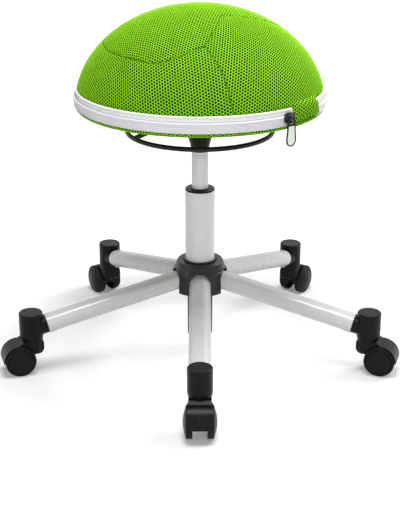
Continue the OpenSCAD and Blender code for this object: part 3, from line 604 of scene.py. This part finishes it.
# knitted panels: one six-sided cell for each hole
knit = {
    "pitch": 4.95,
    # the rings of a cell from its crest into its hole: distance from the middle, and depth
    "rings": [(2.3, 0.1), (1.95, 0.45), (1.64, 1.35)],
    "seamWidth": 3.0, "seamDepth": 2.0, "reach": 9.0, "keep": 2.7,
    "leastFace": 0.04, "leastHole": 0.3,  # twice the area, in mm2
}


def flatMap(u, v):  # cloth laid over the top: true lengths out from the middle
    return np.arctan2(v, u), np.hypot(u, v)


def sideMap(u, v, ease=math.radians(88), rounds=14):  # cloth wrapped round the side
    s = dome["s"][-1] - v
    r, full = np.interp(s, dome["s"], dome["r"]), cover["radius"]
    turn = u / full
    for _ in range(rounds):
        value = full * turn + (r - full) * ease * np.tanh(turn / ease)
        slope = full + (r - full) / np.cosh(turn / ease) ** 2
        turn = turn - (value - u) / np.maximum(slope, 1)
    return turn - np.pi / 2, s


def nearestOnLines(lines):
    points = np.concatenate(lines)
    tree = KDTree(len(points))
    for i, point in enumerate(points):
        tree.insert(point, i)
    tree.balance()

    def nearest(places):
        found = [tree.find(place) for place in places]
        return (np.array([f[0] for f in found]).reshape(-1, 3), np.array([f[2] for f in found]))
    return nearest


def latticeOf(pitch, lean, window):
    row = pitch * math.sqrt(3) / 2
    (u0, u1), (v0, v1) = window
    count = int(math.hypot(u1 - u0, v1 - v0) / 2 / row) + 3
    i, j = np.meshgrid(np.arange(-count, count + 1), np.arange(-count, count + 1), indexing="ij")
    across, along = (i * row).ravel(), ((j + 0.5 * (i % 2)) * pitch).ravel()
    c, s = math.cos(math.radians(lean)), math.sin(math.radians(lean))
    u, v = across * c - along * s + (u0 + u1) / 2, across * s + along * c + (v0 + v1) / 2
    inside = (u > u0) & (u < u1) & (v > v0) & (v < v1)
    return np.stack([u, v], 1)[inside]


def doubleArea(place, faces, first, second):  # between two lines that join corners of each face
    lines = [place[faces[:, b]] - place[faces[:, a]] for a, b in (first, second)]
    return np.linalg.norm(np.cross(*lines), axis=1)


def knitPanel(name, surface, plan, swell):
    nearest = nearestOnLines(plan["edges"])
    centres = latticeOf(knit["pitch"], plan["lean"], plan["window"])
    azimuth, s = plan["map"](*centres.T)
    inside = plan["inside"](azimuth, s)
    distance = nearest(surfacePoint(surface, azimuth, s)[0])[1]
    keep = inside | (distance < knit["keep"])
    centres, distance = centres[keep], distance[keep]
    ways = np.radians(plan["lean"] + np.arange(0, 360, 60))
    way = np.stack([np.cos(ways), np.sin(ways)], 1)
    corners = centres[:, None] + way * knit["pitch"] / math.sqrt(3)
    keys = np.round(corners.reshape(-1, 2) * 50).astype(np.int64)  # shared corners meet on a fine grid
    _, first, cornerOf = np.unique(keys, axis=0, return_index=True, return_inverse=True)
    total, count = len(first), len(centres) * 6
    inReach = np.repeat(distance < knit["reach"], 6)
    flat, depth, near = [corners.reshape(-1, 2)[first]], [np.zeros(total)], [np.zeros(total, bool)]
    np.logical_or.at(near[0], cornerOf.ravel(), inReach)
    rings = [cornerOf.reshape(-1, 6)]
    for radius, sink in knit["rings"][:plan.get("rings", 3)]:
        flat.append((centres[:, None] + way * radius).reshape(-1, 2))
        depth.append(np.full(count, sink))
        near.append(inReach)
        rings.append(total + np.arange(count).reshape(-1, 6))
        total += count
    flat, depth, near = np.concatenate(flat), np.concatenate(depth), np.concatenate(near)
    azimuth, s = plan["map"](*flat.T)
    gap = np.full(len(flat), 1e3)  # to the nearest seam, where it's within reach
    foot, gap[near] = nearest(surfacePoint(surface, azimuth[near], s[near])[0])
    outside = near & ~plan["inside"](azimuth, s)
    azimuth[outside], s[outside] = plan["back"](foot[outside[near]])
    gap[outside] = 0
    groove = (1 - np.minimum(gap / knit["seamWidth"], 1)) ** 2
    groove = plan.get("seamDepth", knit["seamDepth"]) * groove
    place, normal = surfacePoint(surface, azimuth + plan.get("spread", noSwell)(azimuth, s), s)
    place = place + normal * (swell(azimuth, s) - depth - groove)[:, None] + (0, 0, baseZ)
    # the deepest wall band of each cell and each hole's floor take the second finish, which is painted
    # shade
    faces, dark = [], []
    for k, (outer, inner) in enumerate(zip(rings, rings[1:])):
        for i in range(6):
            j = (i + 1) % 6
            faces.append(np.stack([outer[:, i], outer[:, j], inner[:, j], inner[:, i]], 1))
            dark.append(np.full(len(centres), int(k > 1)))
    faces, dark, last = np.concatenate(faces), np.concatenate(dark), rings[-1]
    real = doubleArea(place, faces, (0, 2), (1, 3)) > knit["leastFace"]
    faces, dark = faces[real], dark[real]
    last = last[doubleArea(place, last, (0, 2), (0, 4)) > knit["leastHole"]]
    slots = np.concatenate([dark, np.ones(len(last), int)])
    piece = meshPiece(name, place * mm, [*faces.tolist(), *last.tolist()], slots,
                      ["meshYarn", "meshPaintedHoleShade"], plan.get("flip"))
    mapCloth(piece, flat)
    print(name, "holes:", len(last), "faces:", len(piece.data.polygons))
    return piece


def meshPiece(name, points, faces, slots, materials, flip=False):
    mesh = bpy.data.meshes.new(name)
    if flip:
        faces = [face[::-1] for face in faces]
    mesh.from_pydata([tuple(p) for p in points], [], faces)
    for finish in materials:
        mesh.materials.append(finishes[finish])
    if slots is not None:
        mesh.polygons.foreach_set("material_index", np.asarray(slots, np.int32))
    mesh.polygons.foreach_set("use_smooth", np.ones(len(mesh.polygons), bool))
    mesh.update()
    return addObject(name, mesh)


def inMetres(points):  # from the cover's millimetres into the scene
    return (np.asarray(points) + (0, 0, baseZ)) * mm


def mapCloth(piece, flat, margin=0.01):  # the flat cloth's own layout, as a UV map
    low, size = flat.min(0), np.ptp(flat, axis=0).max()
    order = np.zeros(len(piece.data.loops), np.int32)
    piece.data.loops.foreach_get("vertex_index", order)
    layer = piece.data.uv_layers.new(name="OFBake")
    places = (flat - low) / size * (1 - 2 * margin) + margin
    layer.uv.foreach_set("vector", places[order].astype(np.float32).ravel())


# the air cushion: blown up under the cover, held at the seams and the rim
cushion = {
    "round": 120, "rows": 46, "rings": 8, "inset": 3.4, "pressure": 4.0, "frames": 20,
    "held": 5.0, "heldTop": 2, "mostSwell": 3.0, "mass": 0.3, "stiff": 12.0, "bend": 0.5,
    "quality": 5,
}


def cushionGrid(made):  # rows run down the dome, then rings close the flat underside
    foot = levelToS(boxes["air_cushion"][0][2] - baseZ)
    azimuth = np.linspace(0, fullTurn, made["round"], endpoint=False)
    rows = np.linspace(foot / made["rows"], foot, made["rows"])
    turn, s = np.meshgrid(azimuth, rows, indexing="ij")
    place, normal = surfacePoint(dome, turn.ravel(), s.ravel())
    return azimuth, rows, place - normal * made["inset"], normal


def blowUp(made):
    azimuth, rows, outer, normal = cushionGrid(made)
    across, down = made["round"], made["rows"]
    outer[:, 2] = np.maximum(outer[:, 2], boxes["air_cushion"][0][2] - baseZ)
    rim = outer.reshape(across, down, 3)[:, -1]
    shares = np.linspace(1, 0, made["rings"] + 1)[1:-1]
    flat = np.concatenate([rim * (share, share, 1) for share in shares])
    ends = [(0, 0, cover["height"] - made["inset"]), (0, 0, rim[0, 2])]
    points = np.concatenate([outer, flat, ends])
    faces = []
    for i in range(across):
        k = (i + 1) % across
        faces.append((i * down, k * down, len(points) - 2))
        for j in range(down - 1):
            faces.append((i * down + j, i * down + j + 1, k * down + j + 1, k * down + j))
        ring = [(i * down + down - 1, k * down + down - 1)]
        starts = [len(outer) + j * across for j in range(len(shares))]
        ring += [(start + i, start + k) for start in starts]
        for (a, b), (c, d) in zip(ring, ring[1:]):
            faces.append((a, c, d, b))
        faces.append((ring[-1][0], len(points) - 1, ring[-1][1]))
    piece = meshPiece("airCushion", inMetres(points), faces, None, ["cushionSkin"])
    swell = np.zeros((across, down))
    nearest = nearestOnLines([line["points"] for line in seams.values()])
    atSeam = nearest(outer)[1] < made["held"] + made["inset"]
    held = np.ones(len(points), bool)
    held[:len(outer)] = atSeam | (outer[:, 2] < cover["tapeTop"] + made["heldTop"])
    held[-2] = False
    swell = simulateSwell(piece, held, outer, normal, made).reshape(across, down)
    points[:len(outer)] = outer + normal * swell.reshape(-1, 1)
    points[-2, 2] += swell[:, 0].mean()
    piece.data.vertices.foreach_set("co", inMetres(points).astype(np.float32).ravel())
    piece.data.update()
    print("air cushion: vertices", len(points), "most swell", round(float(swell.max()), 2), "mm")
    return piece, {"azimuth": azimuth, "rows": rows, "swell": swell}


def simulateSwell(piece, held, outer, normal, made):
    group = piece.vertex_groups.new(name="held")
    group.add([int(i) for i in np.flatnonzero(held)], 1.0, "REPLACE")
    cloth = piece.modifiers.new("pressure", "CLOTH")
    air, scene = cloth.settings, bpy.context.scene
    air.quality = made["quality"]
    air.mass = made["mass"]
    air.tension_stiffness = air.compression_stiffness = made["stiff"]
    air.shear_stiffness, air.bending_stiffness = made["stiff"] / 2, made["bend"]
    air.use_pressure = True
    air.uniform_pressure_force = made["pressure"]
    air.vertex_group_mass = group.name
    air.effector_weights.gravity = 0
    cloth.collision_settings.use_collision = cloth.collision_settings.use_self_collision = False
    cloth.point_cache.frame_end = made["frames"]
    for frameNow in range(1, made["frames"] + 1):
        scene.frame_set(frameNow)
    settled = piece.evaluated_get(bpy.context.evaluated_depsgraph_get()).data
    points = np.zeros(len(settled.vertices) * 3, np.float32)
    settled.vertices.foreach_get("co", points)
    moved = points.reshape(-1, 3)[:len(outer)] / mm - (0, 0, baseZ) - outer
    scene.frame_set(1)
    piece.modifiers.remove(cloth)
    piece.vertex_groups.clear()
    swell = np.maximum((moved * normal).sum(1), 0)
    return made["mostSwell"] * np.tanh(swell / made["mostSwell"])


def cushionSwell(azimuth, s):  # how far the blown-up cushion lifts the cover
    rows, swell, across = blown["rows"], blown["swell"], cushion["round"]
    i = (np.asarray(azimuth) % fullTurn) / fullTurn * across
    j = np.clip((s - rows[0]) / (rows[1] - rows[0]), 0, len(rows) - 1.001)
    i0, j0 = np.floor(i).astype(int), np.floor(j).astype(int)
    fi, fj = i - i0, j - j0
    i0, i1 = i0 % across, (i0 + 1) % across
    return ((swell[i0, j0] * (1 - fi) + swell[i1, j0] * fi) * (1 - fj)
            + (swell[i0, j0 + 1] * (1 - fi) + swell[i1, j0 + 1] * fi) * fj)


cushionPiece, blown = blowUp(cushion)
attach(cushionPiece, "seat")
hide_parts("air_cushion")

# the cover's tongue, between the zipper's ends
tongue = {
    "swell": 3.6, "moreRight": 6.4, "start": 6.0,  # the cloth bulges over the tape, most on the right
    "hem": 3.9, "hemFrom": 0.7, "hemOver": 0.2,  # its right hem stands above the tape
    "hemPast": 0.002, "fold": 8.5, "fullAt": 0.3,
}


def onTongue(azimuth, s, start=0.0):  # shares of the way down the tongue, and across it from the left
    return (np.clip((s - footS + start) / (tongueS - footS), 0, 1),
            np.clip((azimuth - gapEnds[0]) / (gapEnds[1] - gapEnds[0]), 0, 1))


def tongueFill(down):  # full soon below the tape's top, and down to a round foot
    return np.clip(down / tongue["fullAt"], 0, 1) ** 0.6 * np.sqrt(1 - down ** 8)


def tongueSpread(azimuth, s):  # the tongue's cloth folds over the tape on its right
    down, across = onTongue(azimuth, s)
    return tongue["fold"] * across ** 2 * tongueFill(down) / cover["radius"]


def noSwell(azimuth, s):
    return azimuth * 0


def coverSwell(azimuth, s):
    middle, half = np.radians([cover["gapMiddle"], cover["gapTurn"] / 2])
    inGap = np.clip(1 - np.abs((azimuth - middle) / half), 0, 1)
    down, across = onTongue(azimuth, s, tongue["start"])
    bulge = (tongue["swell"] + tongue["moreRight"] * across) * np.sin(inGap * np.pi / 2) ** 0.5
    hem = tongue["hem"] * np.clip((across - tongue["hemFrom"]) / tongue["hemOver"], 0, 1)
    hem = hem * tongueFill(onTongue(azimuth, s)[0]) * (azimuth < gapEnds[1] + tongue["hemPast"])
    return np.maximum(bulge * tongueFill(down), hem) + cushionSwell(azimuth, s)


def underBack(points):
    x, y, _ = points.T
    return (np.arctan2(y, x),
            np.where(np.hypot(x, y) > full / 2, under["s"][-1], cover["underHole"]))


full = cover["radius"]
domeSpan = dome["s"][-1]
panels = {
    "coverCap": {"map": flatMap, "lean": -11.0, "window": ((-205, 205), (-205, 205)),
                 "inside": inCap, "edges": edgeLines["cap"], "back": onDome},
    "coverLeft": {"map": sideMap, "lean": 5.5, "inside": inLeft, "edges": edgeLines["left"],
                  "back": onDome, "window": ((-full * math.radians(218), full * math.radians(32)),
                                             (-4, domeSpan - 60))},
    "coverRight": {"map": sideMap, "lean": -5.5, "inside": inRight, "edges": edgeLines["right"],
                   "back": onDome, "spread": tongueSpread,
                   "window": ((-12, full * math.radians(178)), (-4, domeSpan - 40))},
}
coverPieces = [knitPanel(name, dome, plan, coverSwell) for name, plan in panels.items()]
underPiece = knitPanel("coverUnder", under, {
    "map": flatMap, "lean": 0.0, "rings": 2, "seamDepth": 0.5, "flip": True,
    "window": ((-212, 212), (-212, 212)), "back": underBack,
    "inside": lambda azimuth, s: (s < under["s"][-1]) & (s > cover["underHole"]),
    "edges": [levelLine(under, 0, fullTurn, s, 1300) for s in (under["s"][-1], cover["underHole"])],
}, noSwell)
for piece in coverPieces:
    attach(piece, "seat")
    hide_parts("cover_top")
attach(underPiece, "seat")
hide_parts("cover_base")

# zipper tape and the threads of the seams
sewing = {
    "tape": {"steps": 900, "rows": 56, "inset": 2.6, "wave": 0.12, "rim": 1.2, "most": 0.05},
    "rows": [2.3, 23.4],  # rows of stitches above the tape's lower edge
    "stitch": {"long": 3.4, "gap": 1.1, "wide": 0.5, "out": 0.28, "endGap": 0.01},
    # one stitch: its corners along, up and out, and its faces
    "corners": [(-1, 0, -0.1), (-0.6, -1, 0.1), (0.6, -1, 0.1), (1, 0, -0.1),
                (0.6, 1, 0.1), (-0.6, 1, 0.1), (-0.5, 0, 1), (0.5, 0, 1)],
    "faces": [(0, 1, 6), (1, 2, 7, 6), (2, 3, 7), (3, 4, 7), (4, 5, 6, 7), (5, 0, 6)],
    "ribbon": {"radius": 0.8, "flat": 0.6, "sink": 1.5, "sides": 6, "twist": 0.16, "twistLong": 2.6,
               "leastStep": 0.05},
}
tapeWide = cover["tapeTop"] - cover["tapeFoot"]


def domeRadius(h):
    return np.interp(-h, -dome["h"], dome["r"])


def tapeOut(height):  # how far the tape stands out of the dome, from either edge to the teeth
    low, high = boxes["zip_teeth"]
    toTeeth = (tapeWide - (high[2] - low[2])) / 2
    folds = [0, 0.8, 2.9, 3.3, toTeeth - 2.2, toTeeth - 0.9]
    return np.interp(np.minimum(height, tapeWide - height), folds, [0.3, 1.5, 1.55, 0.95, 1.25, 0.7])


def tubeFaces(rings, around, turned=False):  # a tube of rings, closed at both ends
    faces = []
    for i in range(rings - 1):
        for j in range(around):
            k = (j + 1) % around
            a, b, c, d = i * around + j, (i + 1) * around + j, (i + 1) * around + k, i * around + k
            faces.append((a, d, c, b) if turned else (a, b, c, d))
    first, last = tuple(range(around)), tuple(range((rings - 1) * around, rings * around))
    return faces + ([first[::-1], last] if turned else [first, last[::-1]])


def sewTape(made):
    start = gapEnds[1] - math.radians(cover["gapTrim"])
    azimuth = np.linspace(start, start + fullTurn - math.radians(cover["gapTurn"]), made["steps"])
    turn, height = np.meshgrid(azimuth, np.linspace(0, tapeWide, made["rows"]), indexing="ij")
    # slight waves along the cloth
    wave = made["wave"] * (np.sin(turn * 23 + 1.3) + 0.6 * np.sin(turn * 41 + height * 0.2))
    h = cover["tapeFoot"] + height
    rim = np.clip(np.minimum(height, tapeWide - height) / made["rim"], 0, 1)
    r = domeRadius(h) + tapeOut(height) + np.minimum(wave * rim, made["most"]) - made["most"]
    loop = np.concatenate([r, domeRadius(h[:, ::-1]) - made["inset"]], 1)
    levels = np.concatenate([h, h[:, ::-1]], 1)
    turn = np.repeat(azimuth[:, None], loop.shape[1], 1)
    points = np.stack([loop * np.cos(turn), loop * np.sin(turn), levels], 2).reshape(-1, 3)
    return meshPiece("zipTape", inMetres(points), tubeFaces(*loop.shape), None, ["zipCloth"])


def sewRows(made):  # each stitch is a small flat lozenge lying on the tape
    stitch = made["stitch"]
    span = fullTurn - math.radians(cover["gapTurn"]) - 2 * stitch["endGap"]
    start = gapEnds[1] + stitch["endGap"]
    points, faces = [], []
    for row in made["rows"]:
        h = cover["tapeFoot"] + row
        r = float(domeRadius(h) + tapeOut(row))
        count = int(span * r / (stitch["long"] + stitch["gap"]))
        for k in range(count):
            turn = start + span * (k + 0.5) / count
            half = stitch["long"] / 2 / r
            first = len(points)
            for t, up, out in made["corners"]:
                reach, side = r + out * stitch["out"], turn + t * half
                points.append((reach * math.cos(side), reach * math.sin(side),
                               h + up * stitch["wide"] / 2))
            faces += [tuple(first + i for i in face) for face in made["faces"]]
    return meshPiece("zipStitches", inMetres(points), faces, None, ["zipThread"])


def sewRibbon(name, line, made):  # the overlock thread that lies at the bottom of a seam, coloured dark as painted shade of the seam's groove
    azimuth, s = line["azimuth"], line["s"]
    step = np.hypot(np.diff(s), np.diff(azimuth) * np.interp(s[1:], dome["s"], dome["r"]))
    keep = np.concatenate([[True], step > made["leastStep"]])
    azimuth, s = azimuth[keep], s[keep]
    place, normal = surfacePoint(dome, azimuth, s)
    place = place + normal * (coverSwell(azimuth, s) - made["sink"])[:, None]
    along = np.gradient(place, axis=0)
    along /= np.linalg.norm(along, axis=1)[:, None]
    side = np.cross(normal, along)
    length = np.concatenate([[0], np.cumsum(np.linalg.norm(np.diff(place, axis=0), axis=1))])
    twist = 1 + made["twist"] * np.sin(length * 2 * np.pi / made["twistLong"])
    points = []
    for k in range(made["sides"]):
        turn = 2 * np.pi * k / made["sides"]
        points.append(place + made["radius"] * ((math.cos(turn) * twist)[:, None] * side
                                                + made["flat"] * math.sin(turn) * normal))
    faces = tubeFaces(len(s), made["sides"], turned=True)
    return meshPiece(name, inMetres(np.stack(points, 1).reshape(-1, 3)), faces, None, ["seamThreadPaintedShade"])


tapePiece, rowPiece = sewTape(sewing["tape"]), sewRows(sewing)
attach(tapePiece, "seat")
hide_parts("zip_tape")
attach(rowPiece, "seat")
ribbons = {name: sewRibbon(name + "SeamThread", line, sewing["ribbon"])
           for name, line in seams.items()}
for ribbon in ribbons.values():
    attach(ribbon, "seat")
print("tape, stitches and seam threads sewn")

# the pull tab: a cast frame round a sunken plate, hung on the slider's bar; the frame's near-black and
# the plate's pale green-tinted colour are painted reflection
pullTab = {
    # half widths down from the bar's axis, then the foot's round end
    "shoulders": [(1.2, 7.6), (0.2, 8.3), (-7, 8.4), (-14, 8.7), (-20, 9.3), (-25, 9.9)],
    "foot": 10.2, "rim": 2.1, "plateTop": 7.4, "thick": 1.9, "round": 0.3,
    "plateThick": 1.0, "plateRound": 0.12, "plateGap": 0.3,
    "notch": 3.1, "notchFoot": 4.6, "notchCorner": 0.8, "bar": 1.0, "barThin": 0.05, "barOver": 2.4,
}


def tabOutline(made, inset, top):  # the tab's edge, drawn in by the inset and cut off below the loop
    low, high = np.array(made["shoulders"]).T
    centre, radius = made["foot"] - tabLong, made["foot"] - inset
    side = list(zip(low, high))
    if inset:
        side = [(y, w - inset) for y, w in side if y < top - 0.5]
        side.insert(0, (top, float(np.interp(-top, -low, high)) - inset))
    turn = np.radians(np.linspace(0, 180, 33))
    arc = [(radius * math.cos(t), centre - radius * math.sin(t)) for t in turn]
    return [(w, y) for y, w in side] + arc + [(-w, y) for y, w in reversed(side)]


def cutPlate(name, loops, thick, bevel):  # a flat plate with rounded edges, in the tab's own plane
    outline = bpy.data.curves.new(name, "CURVE")
    outline.dimensions, outline.fill_mode = "2D", "BOTH"
    outline.extrude, outline.bevel_depth, outline.bevel_resolution = thick / 2 - bevel, bevel, 2
    outline.offset = -bevel
    for loop in loops:
        spline = outline.splines.new("POLY")
        spline.points.add(len(loop) - 1)
        spline.points.foreach_set("co", np.array([(x, y, 0, 1) for x, y in loop], np.float32).ravel())
        spline.use_cyclic_u = True
    drawn = addObject(name, outline)
    bpy.context.view_layer.update()
    settled = drawn.evaluated_get(bpy.context.evaluated_depsgraph_get())
    mesh = bpy.data.meshes.new_from_object(settled)
    bpy.data.objects.remove(drawn)
    cut = bmesh.new()
    cut.from_mesh(mesh)
    bmesh.ops.remove_doubles(cut, verts=cut.verts, dist=0.001)
    return cut


def hangPlate(name, cut, finish):
    turn = np.stack([tabAcross, (0, 0, 1), tabOut], 1)
    for vertex in cut.verts:
        vertex.co = (np.array(vertex.co) @ turn.T + tabBar) * mm
    bmesh.ops.recalc_face_normals(cut, faces=cut.faces)
    mesh = bpy.data.meshes.new(name)
    cut.to_mesh(mesh)
    cut.free()
    mesh.materials.append(finishes[finish])
    piece = addObject(name, mesh)
    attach(piece, "pull")
    return piece


tabFoot, tabTop = (corner[2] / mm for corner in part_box("zip_pull"))
tabSpots = verticesOf(nodes["zip_pull"])
tabMiddle = (tabSpots.min(0) + tabSpots.max(0)) / 2 / mm
tabOut = np.array([*tabMiddle[:2], 0]) / math.hypot(*tabMiddle[:2])
tabAcross = np.cross((0, 0, 1), tabOut)
tabLong = tabTop - tabFoot - pullTab["bar"]
tabBar = np.array([*tabMiddle[:2], tabTop - pullTab["bar"]])


def castFrame(made):
    wide, foot, corner = made["notch"], made["notchFoot"], made["notchCorner"]
    outer = tabOutline(made, 0, 0)
    outer = outer + [(-wide, outer[-1][1]), (-wide, corner - foot), (-wide + corner, -foot),
                     (wide - corner, -foot), (wide, corner - foot), (wide, outer[0][1])]
    hole = tabOutline(made, made["rim"], -made["plateTop"])
    cut = cutPlate("pullFrame", [outer, hole], made["thick"], made["round"])
    radius = made["bar"] - made["barThin"]
    bar = bmesh.ops.create_cone(cut, cap_ends=True, segments=20, radius1=radius, radius2=radius,
                                depth=2 * wide + made["barOver"])["verts"]
    for vertex in bar:
        x, y, z = vertex.co
        vertex.co = (z, y, x)
    return hangPlate("pullFrame", cut, "pullPaintedDarkReflection")


def castPlate(made):
    gap = made["plateGap"]
    outline = tabOutline(made, made["rim"] + gap, gap - made["plateTop"])
    cut = cutPlate("pullPlate", [outline], made["plateThick"], made["plateRound"])
    return hangPlate("pullPlate", cut, "pullPaintedPaleReflection")


pullFrame = castFrame(pullTab)
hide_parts("zip_pull")
castPlate(pullTab)
print("pull tab cast:", len(pullFrame.data.polygons), "faces")


# the photograph's points, against where the scene shows them
def seenBox(piece):
    shown = np.array([seenAt(p) for p in verticesOf(piece)[::3]])
    return shown.min(0), shown.max(0)


def capTop(index):
    places = verticesOf(nodes[f"end_cap_{index}"])
    top = places[places[:, 2] > places[:, 2].max() - 0.3 * mm]
    return seenAt((top.min(0) + top.max(0)) / 2)


def threadLine(ribbon):  # the middle line of a finished seam thread, as it shows
    rings = verticesOf(ribbon).reshape(-1, sewing["ribbon"]["sides"], 3).mean(1)
    return np.array([seenAt(p) for p in rings])


def measurePoints():
    threadSpots = {name: threadLine(ribbon) for name, ribbon in ribbons.items()}
    threadSpots["seamCorner"] = np.concatenate(list(threadSpots.values()))
    shown = {name: capTop(index) for name, index in
             (("capFront", 1), ("capFrontRight", 2), ("capBackLeft", 4), ("capFrontLeft", 5))}
    ring = np.array([seenAt(p) for p in verticesOf(nodes["release_ring"])])
    shown["ringLeft"] = ring[ring[:, 0].argmin()]
    for name, piece in (("slider", nodes["zip_slider"]), ("pullTab", pullFrame)):
        low, high = seenBox(piece)
        shown[name] = (low + high) / 2
    for name in imagePoints:
        if "Seam" in name or "seam" in name:
            spots = np.concatenate([threadSpots[line] for line in threadSpots if line in name])
            shown[name] = spots[np.hypot(*(spots - imagePoints[name]).T).argmin()]
    result = {name: [round(float(shown[name][k] - imagePoints[name][k]), 1) for k in (0, 1)]
              for name in imagePoints}
    spots = np.concatenate([[seenAt(p) for p in verticesOf(piece)[::step]]
                            for piece, step in finishedPieces()])
    edges = {"left": (spots[:, 0].min(), 0), "right": (spots[:, 0].max(), 0),
             "top": (0, spots[:, 1].min()), "bottom": (0, spots[:, 1].max())}
    for name, value in edgePoints.items():
        across = name in ("left", "right")
        result[name] = ([round(float(edges[name][0] - value), 1), 0] if across
                        else [0, round(float(edges[name][1] - value), 1)])
    print("points, most:", max(max(abs(a), abs(b)) for a, b in result.values()))


def finishedPieces():
    hard = [(nodes[name], 1) for name in nodes
            if name.startswith(("caster", "wheel", "end_cap", "zip_slider"))]
    return hard + [(tapePiece, 4), (coverPieces[0], 9)]


def writeSizes():
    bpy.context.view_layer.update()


writeSizes()
measurePoints()
